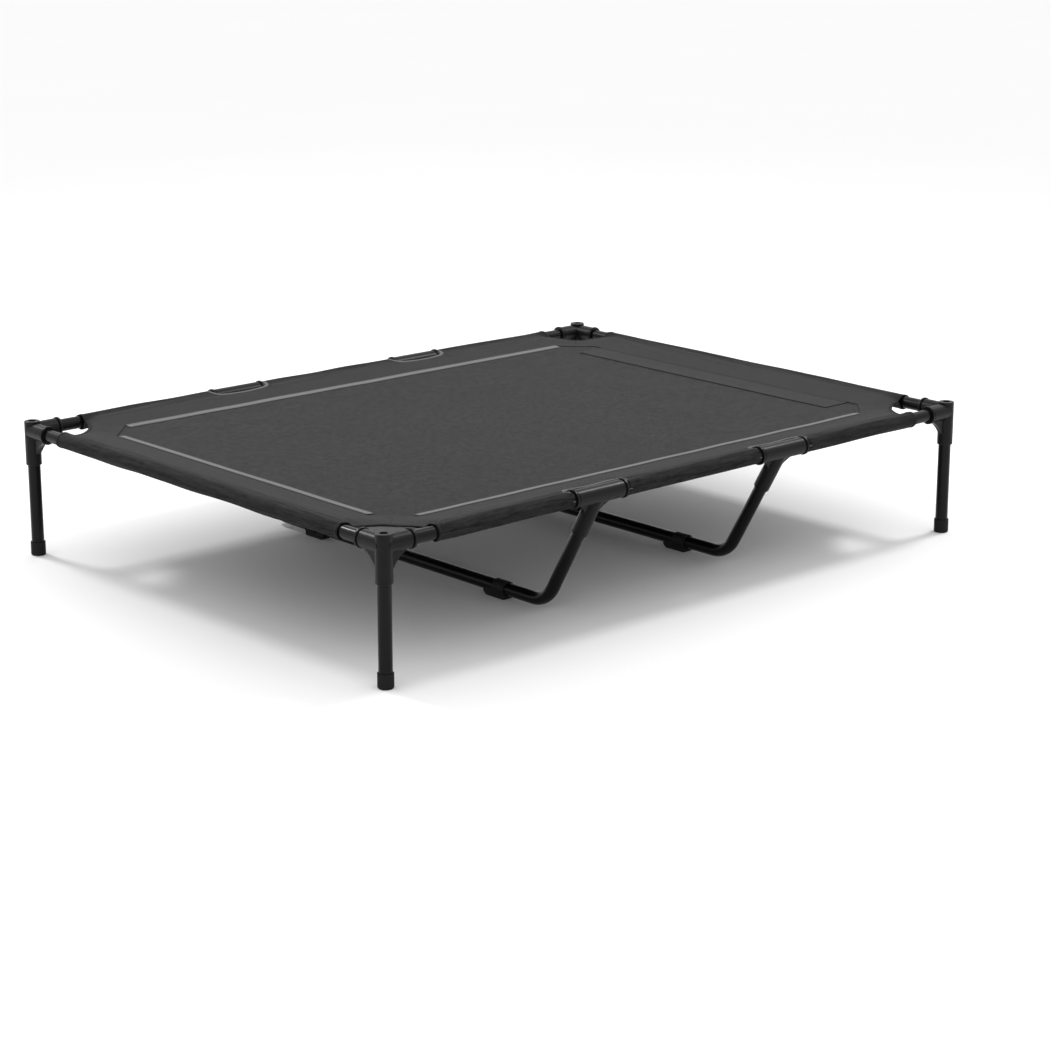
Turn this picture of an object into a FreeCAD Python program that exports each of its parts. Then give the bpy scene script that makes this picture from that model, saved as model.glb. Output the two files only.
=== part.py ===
"""Raised dog bed: a sling cover on a tube frame with four legs and two floor braces.

Millimetres. The origin is on the floor under the middle of the bed, +X runs along the long
side, +Y from front to back and +Z up. Steel tubes push into moulded corner and tee connectors.
Each U-shaped brace ties a front tee to a back tee under the bed and rests on two clip-on feet.
The cover is a centre panel sewn to four bands, which fold round the rails as sleeves.
"""
import FreeCAD, Part
import math
import os
import Sketcher
from FreeCAD import Placement, Rotation, Vector

# Driving dimensions: alias, value, what it is.
DIMENSIONS = [
    ("overall_length", 1210, "along X, over the lip rings"),
    ("overall_width", 910, "along Y, over the lip rings"),
    ("overall_height", 220, "floor to the top of the corner bosses"),
    ("rail_height", 204, "floor to the axis of the rails"),
    ("tube_od", 20, "outside diameter of every tube"),
    ("tube_wall", 1, "wall of every tube"),
    ("fit_gap", 0.05, "radial gap between a tube and its socket"),
    ("socket_od", 25, "outside diameter of the leg sockets and brace collars"),
    ("socket_height", 71, "corner connector from its lower lip to the top of its boss"),
    ("arm_od", 26.5, "outside diameter of the rail sockets"),
    ("ring_od", 29.5, "outside diameter of the lip rings"),
    ("ring_width", 4, "width of one lip ring"),
    ("ring_groove", 2.2, "width of the groove behind a lip ring"),
    ("arm_reach", 48, "leg axis to the end of a rail socket"),
    ("corner_stop", 15, "leg axis to the end of a rail tube"),
    ("tee_stop", 5, "middle of a tee to the end of a rail tube"),
    ("tee_length", 102, "length of a tee along its rail"),
    ("collar_reach", 76, "rail axis to the end of the brace collar"),
    ("branch_stop", 15, "rail axis to the end of the brace tube"),
    ("web_thick", 9, "thickness of the gusset webs"),
    ("corner_web_out", 39, "leg axis to the outer end of a corner web"),
    ("corner_web_drop", 38, "rail axis down to the lower end of a corner web"),
    ("corner_web_curve", 55, "radius of the hollow edge of a corner web"),
    ("tee_web_out", 34, "middle of a tee to the outer end of its web"),
    ("tee_web_drop", 46, "rail axis to the lower end of a tee web"),
    ("tee_web_curve", 36, "radius of the hollow edge of a tee web"),
    ("groove_depth", 1.6, "depth of the groove behind a lip ring"),
    ("boss_seat", 8, "top of the boss down to the bolt seat"),
    ("boss_hole", 12.3, "diameter of the recess for the bolt head"),
    ("seat_plate", 5, "plastic between the bolt seat and the leg socket"),
    ("edge_round", 1.2, "rounding of the moulded edges"),
    ("ring_round", 0.8, "rounding of the lip rings"),
    ("weld", 1, "overlap of moulded features that run into each other"),
    ("bolt_od", 6, "M6 leg bolt"),
    ("bolt_grip", 22, "length of the bolt under its head"),
    ("head_od", 10, "diameter of the cap head"),
    ("head_height", 6, "height of the cap head"),
    ("key_size", 5, "hexagon key, across the flats"),
    ("key_depth", 3, "depth of the hexagon"),
    ("insert_flange", 1.5, "flange of the threaded insert on the tube's end"),
    ("insert_depth", 20, "insert inside the tube"),
    ("foot_od", 23.5, "outside diameter of a foot cap"),
    ("foot_height", 22, "height of a foot cap"),
    ("foot_floor", 3, "rubber under the end of the leg"),
    ("foot_round", 2.5, "rounding of the foot's lower edge"),
    ("brace_tilt", 30, "degrees between a brace strut and the vertical"),
    ("brace_height", 16, "floor to the axis of the cross tube"),
    ("brace_bend", 50, "centre-line radius of the bends"),
    ("clip_place", 222, "middle of the bed to the middle of a brace foot"),
    ("clip_length", 48, "length of a brace foot"),
    ("clip_od", 24, "outside diameter of the foot's ring"),
    ("clip_ring", 26, "length of the foot's ring"),
    ("clip_pad_width", 17, "width of the foot's pad on the floor"),
    ("clip_pad_top", 5, "brace axis down to the top of the foot's pad"),
    ("clip_edge", 2, "bevel of the pad's square end"),
    ("cloth", 1.2, "thickness of the cover cloth"),
    ("sleeve_od", 24.4, "outside diameter of the sleeve over a rail"),
    ("band_width", 75, "rail axis to the seam of the panel"),
    ("sleeve_tip", 66, "rail axis to the inner end of the sleeve's pocket"),
    ("corner_cut", 88, "radius of the cover's cut-out round each leg"),
    ("notch_length", 108, "length of the cover's notch at each tee"),
    ("notch_round", 8, "rounding of the notch's inner corners"),
    ("notch_depth", 20, "rail axis to the inner edge of the notch"),
    ("seam_gap", 0.3, "gap between sewn pieces"),
    ("sewn_gap", 0.1, "gap between the panel and what is sewn on it"),
    ("tape_width", 12, "width of the seam tape"),
    ("tape_thick", 0.7, "thickness of the seam tape and of the flap"),
    ("long_tape", 930, "length of the tape on the long sides"),
    ("short_tape", 620, "length of the tape on the left side"),
    ("flap_width", 55, "width of the stitched flap on the right side"),
    ("flap_length", 590, "length of the stitched flap"),
]
VALUE = {name: value for name, value, note in DIMENSIONS}

# Formulas shared by several sub-parts, in the sheet's aliases.
LEG_X = "(Dims.overall_length - Dims.ring_od) / 2"
LEG_Y = "(Dims.overall_width - Dims.ring_od) / 2"
BORE = "Dims.tube_od / 2 + Dims.fit_gap"
SEGMENT = f"((2 * {LEG_X} - 2 * Dims.corner_stop - 4 * Dims.tee_stop) / 3)"
TEE_X = f"({SEGMENT} / 2 + Dims.tee_stop)"
LEG_TOP = "(Dims.overall_height - Dims.boss_seat - Dims.seat_plate)"
BRACE_DROP = "(Dims.rail_height - Dims.brace_height)"
BRACE_CORNER = f"({LEG_Y} - {BRACE_DROP} * tan(Dims.brace_tilt * 1 deg))"
BEND_REACH = "(Dims.brace_bend * tan((90 - Dims.brace_tilt) * 0.5 deg))"

SIDES = {"front": -1, "back": 1}
ENDS = {"left": -1, "right": 1}
CORNER_TURN = {("front", "left"): 0, ("front", "right"): 90, ("back", "right"): 180, ("back", "left"): 270}

# The same places as numbers, for the first guess of a sketch before its formulas take over.
LEG_AT = {"x": (VALUE["overall_length"] - VALUE["ring_od"]) / 2,
          "y": (VALUE["overall_width"] - VALUE["ring_od"]) / 2}
SEGMENT_LENGTH = (2 * LEG_AT["x"] - 2 * VALUE["corner_stop"] - 4 * VALUE["tee_stop"]) / 3
TEE_AT = SEGMENT_LENGTH / 2 + VALUE["tee_stop"]

ORIGIN = (-1, 1)    # a sketch's own origin, as Sketcher numbers it
START, END, CENTRE = 1, 2, 3
TOUCH = 1e-4        # two ends closer than this meet
MATCH = 0.01        # two sizes closer than this are the same
LEAST_CUT = 0.1     # smallest volume that a pocket must remove
HOLLOW = 0.15       # first guess of a hollow edge's depth, as a share of its chord


def make_sheet(doc):
    """Put the driving dimensions in a spreadsheet called Dims."""
    sheet = doc.addObject("Spreadsheet::Sheet", "Dims")
    for row, (name, value, note) in enumerate(DIMENSIONS, start=1):
        sheet.set(f"A{row}", note)
        sheet.set(f"B{row}", str(value))
        sheet.setAlias(f"B{row}", name)
    doc.recompute()


def bind(thing, **formulas):
    """Bind properties to formulas. Double underscores in a name stand for dots."""
    for name, formula in formulas.items():
        thing.setExpression(name.replace("__", "."), formula)


def place(thing, x="0", y="0", z="0", turn=None):
    """Set where a sub-part stands: formulas for its origin, and how it is turned."""
    thing.Placement = Placement(Vector(0, 0, 0), turn or Rotation())
    bind(thing, Placement__Base__x=x, Placement__Base__y=y, Placement__Base__z=z)


def make_body(doc, label):
    """Add an empty body whose label is the name of its node."""
    body = doc.addObject("PartDesign::Body", label)
    body.Label = label
    return body


def origin_plane(body, role):
    """Find one of the body's own origin planes."""
    return next(item for item in body.Origin.OriginFeatures if item.Role == role)


def add_sketch(body, name, role, offset="0"):
    """Add a sketch on one of the body's own origin planes, raised along its normal."""
    sketch = body.newObject("Sketcher::SketchObject", name)
    sketch.AttachmentSupport = [(origin_plane(body, role), "")]
    sketch.MapMode = "FlatFace"
    bind(sketch, AttachmentOffset__Base__z=offset)
    return sketch


def limit(sketch, kind, first, second, formula, start_value):
    """Add one dimension to a sketch and bind it to a formula."""
    index = sketch.addConstraint(Sketcher.Constraint(kind, *first, *second, start_value))
    sketch.setExpression(f"Constraints[{index}]", formula)


def add_circle(sketch, radius, across="0", up="0", guess=10.0, guess_at=(0.0, 0.0)):
    """Draw a circle with a bound radius and a bound centre."""
    centre = Vector(guess_at[0], guess_at[1], 0)
    circle = sketch.addGeometry(Part.Circle(centre, Vector(0, 0, 1), guess))
    limit(sketch, "Radius", (circle,), (), radius, guess)
    if across == "0" and up == "0":
        sketch.addConstraint(Sketcher.Constraint("Coincident", circle, CENTRE, *ORIGIN))
        return
    limit(sketch, "DistanceX", ORIGIN, (circle, CENTRE), across, guess_at[0])
    limit(sketch, "DistanceY", ORIGIN, (circle, CENTRE), up, guess_at[1])


def add_outline(sketch, corners):
    """Draw a closed outline of straight lines. Each corner is ((formula, guess), (formula, guess))."""
    points = [Vector(across[1], up[1], 0) for across, up in corners]
    lines = []
    for first, second in zip(points, points[1:] + points[:1]):
        lines.append(sketch.addGeometry(Part.LineSegment(first, second)))
    for line, following in zip(lines, lines[1:] + lines[:1]):
        sketch.addConstraint(Sketcher.Constraint("Coincident", line, END, following, START))
    for line, (across, up) in zip(lines, corners):
        limit(sketch, "DistanceX", ORIGIN, (line, START), *across)
        limit(sketch, "DistanceY", ORIGIN, (line, START), *up)


def join_ends(sketch, edges):
    """Join each edge of a closed outline to the next, at whichever of their ends meet."""
    for edge, following in zip(edges, edges[1:] + edges[:1]):
        ends = [(first, second) for first in (START, END) for second in (START, END)
                if (sketch.getPoint(edge, first) - sketch.getPoint(following, second)).Length < TOUCH]
        sketch.addConstraint(Sketcher.Constraint("Coincident", edge, ends[0][0], following, ends[0][1]))


def add_pad(body, sketch, length, midplane=False, reverse=False):
    """Pad a sketch by a bound length."""
    pad = body.newObject("PartDesign::Pad", f"{sketch.Name}_pad")
    pad.Profile = sketch
    pad.Midplane = midplane
    pad.Reversed = reverse
    bind(pad, Length=length)
    return pad


def add_pocket(body, sketch, length, midplane=False, reverse=False):
    """Cut a sketch's shape out of the body to a bound depth, and see that it cuts."""
    body.Document.recompute()
    before = body.Shape.Volume
    pocket = body.newObject("PartDesign::Pocket", f"{sketch.Name}_pocket")
    pocket.Profile = sketch
    pocket.Midplane = midplane
    pocket.Reversed = reverse
    bind(pocket, Length=length)
    body.Document.recompute()
    if body.Shape.Volume > before - LEAST_CUT:
        raise RuntimeError(f"{pocket.Name} in {body.Label} cuts nothing")
    return pocket


def add_fillet(body, base, choose, radius):
    """Round the edges of the body's last feature that the test chooses."""
    body.Document.recompute()
    names = [f"Edge{number}" for number, edge in enumerate(base.Shape.Edges, start=1) if choose(edge)]
    fillet = body.newObject("PartDesign::Fillet", f"{base.Name}_round")
    fillet.Base = (base, names)
    bind(fillet, Radius=radius)
    return fillet


def is_round(radius, height=None):
    """Make an edge test: a circle of this radius, at this height if one is given."""
    def test(edge):
        return (isinstance(edge.Curve, Part.Circle) and abs(edge.Curve.Radius - radius) < MATCH
                and (height is None or abs(edge.Curve.Center.z - height) < MATCH))
    return test


# ---------------------------------------------------------------- tubes

def make_tube(doc, label, length):
    """Cut a straight tube, standing on its own origin along +Z."""
    body = make_body(doc, label)
    section = add_sketch(body, f"{label}_section", "XY_Plane")
    add_circle(section, "Dims.tube_od / 2", guess=10)
    add_circle(section, "Dims.tube_od / 2 - Dims.tube_wall", guess=9)
    add_pad(body, section, length)
    return body


def make_legs(doc):
    """Four leg tubes, from the floor of the foot cap to the flange of the insert."""
    length = f"{LEG_TOP} - Dims.insert_flange - Dims.foot_floor"
    for side, y_sign in SIDES.items():
        for end, x_sign in ENDS.items():
            leg = make_tube(doc, f"leg_tube_{side}_{end}", length)
            place(leg, f"{x_sign} * {LEG_X}", f"{y_sign} * {LEG_Y}", "Dims.foot_floor")


def make_end_rails(doc):
    """Two undivided rails along the short ends."""
    to_back = Rotation(Vector(1, 0, 0), -90)
    for end, x_sign in ENDS.items():
        rail = make_tube(doc, f"end_rail_{end}", f"2 * ({LEG_Y} - Dims.corner_stop)")
        place(rail, f"{x_sign} * {LEG_X}", f"-({LEG_Y} - Dims.corner_stop)", "Dims.rail_height", to_back)


def make_side_rails(doc):
    """Each long side is three equal tubes, joined end to end by two tees."""
    to_right = Rotation(Vector(0, 1, 0), 90)
    starts = {"left": f"-({LEG_X} - Dims.corner_stop)", "middle": f"-{SEGMENT} / 2",
              "right": f"{TEE_X} + Dims.tee_stop"}
    for side, y_sign in SIDES.items():
        for stretch, start in starts.items():
            rail = make_tube(doc, f"side_rail_{side}_{stretch}", SEGMENT)
            place(rail, start, f"{y_sign} * {LEG_Y}", "Dims.rail_height", to_right)


def make_brace(doc, label):
    """Bend one U-shaped brace: half of it swept from the middle, then mirrored front to back."""
    body = make_body(doc, label)
    section = add_sketch(body, f"{label}_section", "XZ_Plane")
    add_circle(section, "Dims.tube_od / 2", guess=10)
    add_circle(section, "Dims.tube_od / 2 - Dims.tube_wall", guess=9)

    tilt = math.radians(VALUE["brace_tilt"])
    radius = VALUE["brace_bend"]
    drop = VALUE["rail_height"] - VALUE["brace_height"]
    corner = LEG_AT["y"] - drop * math.tan(tilt)
    reach = radius * math.tan((math.pi / 2 - tilt) / 2)
    along_strut = Vector(math.sin(tilt), math.cos(tilt), 0)
    flat_end = Vector(corner - reach, 0, 0)
    bend_centre = Vector(corner - reach, radius, 0)
    half_turn = (math.pi / 2 - tilt) / 2
    bend_middle = bend_centre + Vector(math.sin(half_turn), -math.cos(half_turn), 0) * radius
    bend_end = Vector(corner, 0, 0) + along_strut * reach
    strut_end = Vector(corner, 0, 0) + along_strut * (drop / math.cos(tilt) - VALUE["branch_stop"])

    path = add_sketch(body, f"{label}_path", "YZ_Plane")
    flat = path.addGeometry(Part.LineSegment(Vector(0, 0, 0), flat_end))
    bend = path.addGeometry(Part.Arc(flat_end, bend_middle, bend_end))
    strut = path.addGeometry(Part.LineSegment(bend_end, strut_end))
    path.addConstraint(Sketcher.Constraint("Coincident", flat, START, *ORIGIN))
    path.addConstraint(Sketcher.Constraint("Horizontal", flat))
    path.addConstraint(Sketcher.Constraint("Tangent", flat, END, bend, START))
    path.addConstraint(Sketcher.Constraint("Tangent", bend, END, strut, START))
    limit(path, "Radius", (bend,), (), "Dims.brace_bend", radius)
    limit(path, "DistanceX", ORIGIN, (strut, END),
          f"{LEG_Y} - Dims.branch_stop * sin(Dims.brace_tilt * 1 deg)", strut_end.x)
    limit(path, "DistanceY", ORIGIN, (strut, END),
          f"{BRACE_DROP} - Dims.branch_stop * cos(Dims.brace_tilt * 1 deg)", strut_end.y)
    limit(path, "DistanceX", ORIGIN, (flat, END), f"{BRACE_CORNER} - {BEND_REACH}", flat_end.x)

    pipe = body.newObject("PartDesign::AdditivePipe", f"{label}_half")
    pipe.Profile = section
    pipe.Spine = (path, ["Edge1", "Edge2", "Edge3"])
    body.Document.recompute()
    mirrored = body.newObject("PartDesign::Mirrored", f"{label}_whole")
    mirrored.Originals = [pipe]
    mirrored.MirrorPlane = (origin_plane(body, "XZ_Plane"), [""])
    body.Tip = mirrored
    return body


def make_braces(doc):
    """Two braces, one under each pair of tees."""
    for end, x_sign in ENDS.items():
        place(make_brace(doc, f"brace_tube_{end}"), f"{x_sign} * {TEE_X}", "0", "Dims.brace_height")


def make_brace_foot(doc, label):
    """Mould one clip-on foot: a ring round the cross tube and a longer pad under it."""
    body = make_body(doc, label)
    ring = add_sketch(body, f"{label}_ring", "XZ_Plane", "-(Dims.clip_length - Dims.clip_ring) / 2")
    add_circle(ring, "Dims.clip_od / 2", guess=12)
    add_pad(body, ring, "Dims.clip_ring", midplane=True)
    pad = add_sketch(body, f"{label}_pad", "YZ_Plane")
    long_half, height, under = VALUE["clip_length"] / 2, VALUE["brace_height"], VALUE["tube_od"] / 2
    half = ("Dims.clip_length / 2", long_half)
    minus_half = ("-Dims.clip_length / 2", -long_half)
    minus_slope = ("-Dims.clip_length / 2 + Dims.brace_height - Dims.tube_od / 2",
                   -long_half + height - under)
    lip = ("Dims.clip_length / 2 - Dims.clip_edge", long_half - VALUE["clip_edge"])
    floor = ("-Dims.brace_height", -height)
    above_floor = ("-Dims.brace_height + Dims.clip_edge", -height + VALUE["clip_edge"])
    tube_side = ("-Dims.clip_pad_top", -VALUE["clip_pad_top"])
    under_tube = ("-Dims.tube_od / 2 - Dims.clip_edge / 4", -under - VALUE["clip_edge"] / 4)
    add_outline(pad, [(minus_half, tube_side), (minus_half, under_tube), (minus_slope, floor), (lip, floor),
                      (half, above_floor), (half, tube_side)])
    add_pad(body, pad, "Dims.clip_pad_width", midplane=True)
    bore = add_sketch(body, f"{label}_bore", "XZ_Plane")
    add_circle(bore, BORE, guess=10)
    add_pocket(body, bore, "2 * Dims.clip_length", midplane=True)
    return body


def make_brace_feet(doc):
    """Four brace feet, each with its ring on the side of the bend."""
    for side, y_sign in SIDES.items():
        for end, x_sign in ENDS.items():
            foot = make_brace_foot(doc, f"brace_foot_{side}_{end}")
            turn = Rotation(Vector(0, 0, 1), 180 if side == "front" else 0)
            place(foot, f"{x_sign} * {TEE_X}", f"{y_sign} * Dims.clip_place", "Dims.brace_height", turn)


# ---------------------------------------------------------------- moulded connectors

def add_arm(body, name, plane, reverse):
    """Mould one rail socket of a corner: a round arm and the lip ring at its end."""
    arm = add_sketch(body, f"{name}_arm", plane)
    add_circle(arm, "Dims.arm_od / 2", guess=13)
    add_pad(body, arm, "Dims.arm_reach - Dims.ring_width - Dims.ring_groove", reverse=reverse)
    neck = add_sketch(body, f"{name}_neck", plane)
    add_circle(neck, "Dims.arm_od / 2 - Dims.groove_depth", guess=12)
    add_pad(body, neck, "Dims.arm_reach", reverse=reverse)
    lip_start = "(Dims.arm_reach - Dims.ring_width)"
    lip = add_sketch(body, f"{name}_lip", plane, f"-{lip_start}" if reverse else lip_start)
    add_circle(lip, "Dims.ring_od / 2", guess=14)
    return add_pad(body, lip, "Dims.ring_width", reverse=reverse)


def add_web(body, name, plane, sign, kind):
    """Mould a web between a rail socket and the socket under it, with a hollow curved edge."""
    web = add_sketch(body, name, plane)
    outer = Vector(sign * VALUE[f"{kind}_web_out"], VALUE["weld"] - VALUE["arm_od"] / 2, 0)
    lower = Vector(sign * (VALUE["socket_od"] / 2 - VALUE["weld"]), -VALUE[f"{kind}_web_drop"], 0)
    chord = lower - outer
    middle = (outer + lower) * 0.5 + Vector(chord.y, -chord.x, 0) * (sign * HOLLOW)
    points = [Vector(0, 0, 0), Vector(outer.x, 0, 0), outer, lower, Vector(0, lower.y, 0)]
    edges = [web.addGeometry(Part.LineSegment(points[0], points[1])),
             web.addGeometry(Part.LineSegment(points[1], points[2])),
             web.addGeometry(Part.Arc(points[2], middle, points[3])),
             web.addGeometry(Part.LineSegment(points[3], points[4])),
             web.addGeometry(Part.LineSegment(points[4], points[0]))]
    join_ends(web, edges)
    web.addConstraint(Sketcher.Constraint("Coincident", edges[0], START, *ORIGIN))
    web.addConstraint(Sketcher.Constraint("Horizontal", edges[0]))
    web.addConstraint(Sketcher.Constraint("Vertical", edges[1]))
    web.addConstraint(Sketcher.Constraint("Horizontal", edges[3]))
    web.addConstraint(Sketcher.Constraint("Vertical", edges[4]))
    limit(web, "DistanceX", ORIGIN, (edges[1], END), f"{sign} * Dims.{kind}_web_out", outer.x)
    limit(web, "DistanceY", ORIGIN, (edges[1], END), "Dims.weld - Dims.arm_od / 2", outer.y)
    limit(web, "DistanceX", ORIGIN, (edges[3], START), f"{sign} * (Dims.socket_od / 2 - Dims.weld)", lower.x)
    limit(web, "DistanceY", ORIGIN, (edges[3], START), f"-Dims.{kind}_web_drop", lower.y)
    limit(web, "Radius", (edges[2],), (), f"Dims.{kind}_web_curve", VALUE[f"{kind}_web_curve"])
    return add_pad(body, web, "Dims.web_thick", midplane=True)


def make_corner(doc, label):
    """Mould one three-way corner: its arms point along +X and +Y, its leg socket down."""
    body = make_body(doc, label)
    top = "(Dims.overall_height - Dims.rail_height)"
    column = add_sketch(body, f"{label}_column", "XY_Plane", f"{top} - Dims.socket_height")
    add_circle(column, "Dims.socket_od / 2", guess=12)
    add_pad(body, column, "Dims.socket_height")
    add_arm(body, f"{label}_x", "YZ_Plane", False)
    add_arm(body, f"{label}_y", "XZ_Plane", True)
    add_web(body, f"{label}_x_web", "XZ_Plane", 1, "corner")
    web = add_web(body, f"{label}_y_web", "YZ_Plane", 1, "corner")
    rise = VALUE["overall_height"] - VALUE["rail_height"]
    radius = VALUE["socket_od"] / 2
    rounded = add_fillet(body, web, is_round(radius, rise), "Dims.edge_round")
    rounded = add_fillet(body, rounded, is_round(radius, rise - VALUE["socket_height"]), "Dims.edge_round")
    add_fillet(body, rounded, is_round(VALUE["ring_od"] / 2), "Dims.ring_round")

    leg_bore = add_sketch(body, f"{label}_leg_bore", "XY_Plane", f"{top} - Dims.socket_height")
    add_circle(leg_bore, BORE, guess=10)
    add_pocket(body, leg_bore, "Dims.socket_height - Dims.boss_seat - Dims.seat_plate", reverse=True)
    for name, plane, reverse in (("x", "YZ_Plane", True), ("y", "XZ_Plane", False)):
        start = "-Dims.corner_stop" if name == "y" else "Dims.corner_stop"
        bore = add_sketch(body, f"{label}_{name}_bore", plane, start)
        add_circle(bore, BORE, guess=10)
        add_pocket(body, bore, "Dims.arm_reach", reverse=reverse)
    clearance = "Dims.bolt_od / 2 + Dims.fit_gap"
    for name, size, depth in (("recess", "Dims.boss_hole / 2", "Dims.boss_seat"),
                              ("bolt_hole", clearance, "Dims.boss_seat + Dims.seat_plate")):
        hole = add_sketch(body, f"{label}_{name}", "XY_Plane", top)
        add_circle(hole, size, guess=5)
        add_pocket(body, hole, depth)
    return body


def make_corners(doc):
    """Four corners, each turned so that its arms point along its two rails."""
    for (side, end), angle in CORNER_TURN.items():
        corner = make_corner(doc, f"corner_connector_{side}_{end}")
        place(corner, f"{ENDS[end]} * {LEG_X}", f"{SIDES[side]} * {LEG_Y}", "Dims.rail_height",
              Rotation(Vector(0, 0, 1), angle))


def make_tee(doc, label):
    """Mould one tee: a sleeve along X with a lip ring at each end, and a collar pointing down."""
    body = make_body(doc, label)
    sleeve_length = "Dims.tee_length - 2 * Dims.ring_width - 2 * Dims.ring_groove"
    for name, width, size in (("sleeve", sleeve_length, "Dims.arm_od / 2"),
                              ("neck", "Dims.tee_length", "Dims.arm_od / 2 - Dims.groove_depth")):
        part = add_sketch(body, f"{label}_{name}", "YZ_Plane")
        add_circle(part, size, guess=13)
        add_pad(body, part, width, midplane=True)
    for name, sign in (("left", -1), ("right", 1)):
        lip_middle = f"{sign} * (Dims.tee_length - Dims.ring_width) / 2"
        lip = add_sketch(body, f"{label}_{name}_lip", "YZ_Plane", lip_middle)
        add_circle(lip, "Dims.ring_od / 2", guess=14)
        add_pad(body, lip, "Dims.ring_width", midplane=True)
    collar = add_sketch(body, f"{label}_collar", "XY_Plane")
    add_circle(collar, "Dims.socket_od / 2", guess=12)
    add_pad(body, collar, "Dims.collar_reach", reverse=True)
    for name, sign in (("left", -1), ("right", 1)):
        web = add_web(body, f"{label}_{name}_web", "XZ_Plane", sign, "tee")
    collar_end = is_round(VALUE["socket_od"] / 2, -VALUE["collar_reach"])
    rounded = add_fillet(body, web, collar_end, "Dims.edge_round")
    add_fillet(body, rounded, is_round(VALUE["ring_od"] / 2), "Dims.ring_round")

    bore = add_sketch(body, f"{label}_brace_bore", "XY_Plane", "-Dims.branch_stop")
    add_circle(bore, BORE, guess=10)
    add_pocket(body, bore, "Dims.collar_reach")
    for name, sign, reverse in (("left", -1, False), ("right", 1, True)):
        bore = add_sketch(body, f"{label}_{name}_bore", "YZ_Plane", f"{sign} * Dims.tee_stop")
        add_circle(bore, BORE, guess=10)
        add_pocket(body, bore, "Dims.tee_length / 2", reverse=reverse)
    return body


def make_tees(doc):
    """Four tees, their collars turned inward under the bed."""
    for side, y_sign in SIDES.items():
        for end, x_sign in ENDS.items():
            tee = make_tee(doc, f"tee_connector_{side}_{end}")
            turn = Rotation(Vector(1, 0, 0), -y_sign * VALUE["brace_tilt"])
            place(tee, f"{x_sign} * {TEE_X}", f"{y_sign} * {LEG_Y}", "Dims.rail_height", turn)


# ---------------------------------------------------------------- feet and leg fasteners

def make_foot_caps(doc):
    """Four rubber caps pushed over the lower ends of the legs."""
    for side, y_sign in SIDES.items():
        for end, x_sign in ENDS.items():
            label = f"foot_cap_{side}_{end}"
            body = make_body(doc, label)
            outside = add_sketch(body, f"{label}_outside", "XY_Plane")
            add_circle(outside, "Dims.foot_od / 2", guess=12)
            cap = add_pad(body, outside, "Dims.foot_height")
            add_fillet(body, cap, is_round(VALUE["foot_od"] / 2, 0), "Dims.foot_round")
            inside = add_sketch(body, f"{label}_inside", "XY_Plane", "Dims.foot_floor")
            add_circle(inside, BORE, guess=10)
            add_pocket(body, inside, "Dims.foot_height", reverse=True)
            place(body, f"{x_sign} * {LEG_X}", f"{y_sign} * {LEG_Y}")


def add_cylinder(doc, name, radius, height, x, y, z):
    """Add a standing cylinder with bound sizes and place."""
    cylinder = doc.addObject("Part::Cylinder", name)
    bind(cylinder, Radius=radius, Height=height)
    place(cylinder, x, y, z)
    return cylinder


def make_leg_bolt(doc, name, x, y):
    """One cap-head bolt through the top of a corner into the leg's insert."""
    seat = "Dims.overall_height - Dims.boss_seat"
    head = add_cylinder(doc, f"{name}_head", "Dims.head_od / 2", "Dims.head_height", x, y, seat)
    shank = add_cylinder(doc, f"{name}_shank", "Dims.bolt_od / 2", "Dims.bolt_grip + Dims.weld", x, y,
                         f"{seat} - Dims.bolt_grip")
    blank = doc.addObject("Part::Fuse", f"{name}_blank")
    blank.Base, blank.Tool = head, shank
    key = doc.addObject("Part::Prism", f"{name}_key")
    key.Polygon = 6
    bind(key, Circumradius="Dims.key_size / (2 * cos(30 deg))", Height="Dims.key_depth + Dims.weld")
    place(key, x, y, f"{seat} + Dims.head_height - Dims.key_depth")
    bolt = doc.addObject("Part::Cut", name)
    bolt.Base, bolt.Tool = blank, key
    return bolt


def make_leg_insert(doc, name, x, y):
    """One flanged, threaded insert in the top of a leg tube."""
    flange = add_cylinder(doc, f"{name}_flange", "Dims.tube_od / 2", "Dims.insert_flange", x, y,
                          f"{LEG_TOP} - Dims.insert_flange")
    plug = add_cylinder(doc, f"{name}_plug", "Dims.tube_od / 2 - Dims.tube_wall - Dims.fit_gap",
                        "Dims.insert_depth + Dims.insert_flange", x, y,
                        f"{LEG_TOP} - Dims.insert_flange - Dims.insert_depth")
    blank = doc.addObject("Part::Fuse", f"{name}_blank")
    blank.Base, blank.Tool = flange, plug
    clearance = "Dims.bolt_od / 2 + Dims.fit_gap"
    hole = add_cylinder(doc, f"{name}_hole", clearance, "Dims.overall_height", x, y, "0")
    insert = doc.addObject("Part::Cut", name)
    insert.Base, insert.Tool = blank, hole
    return insert


def make_leg_fasteners(doc):
    """The four bolts are one group of separate solids, and so are the four inserts."""
    for label, make_one in (("leg_bolts", make_leg_bolt), ("leg_inserts", make_leg_insert)):
        pieces = [make_one(doc, f"{label}_{side}_{end}", f"{x_sign} * {LEG_X}", f"{y_sign} * {LEG_Y}")
                  for side, y_sign in SIDES.items() for end, x_sign in ENDS.items()]
        group = doc.addObject("Part::Compound", label)
        group.Label = label
        group.Links = pieces


# ---------------------------------------------------------------- cover

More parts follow.
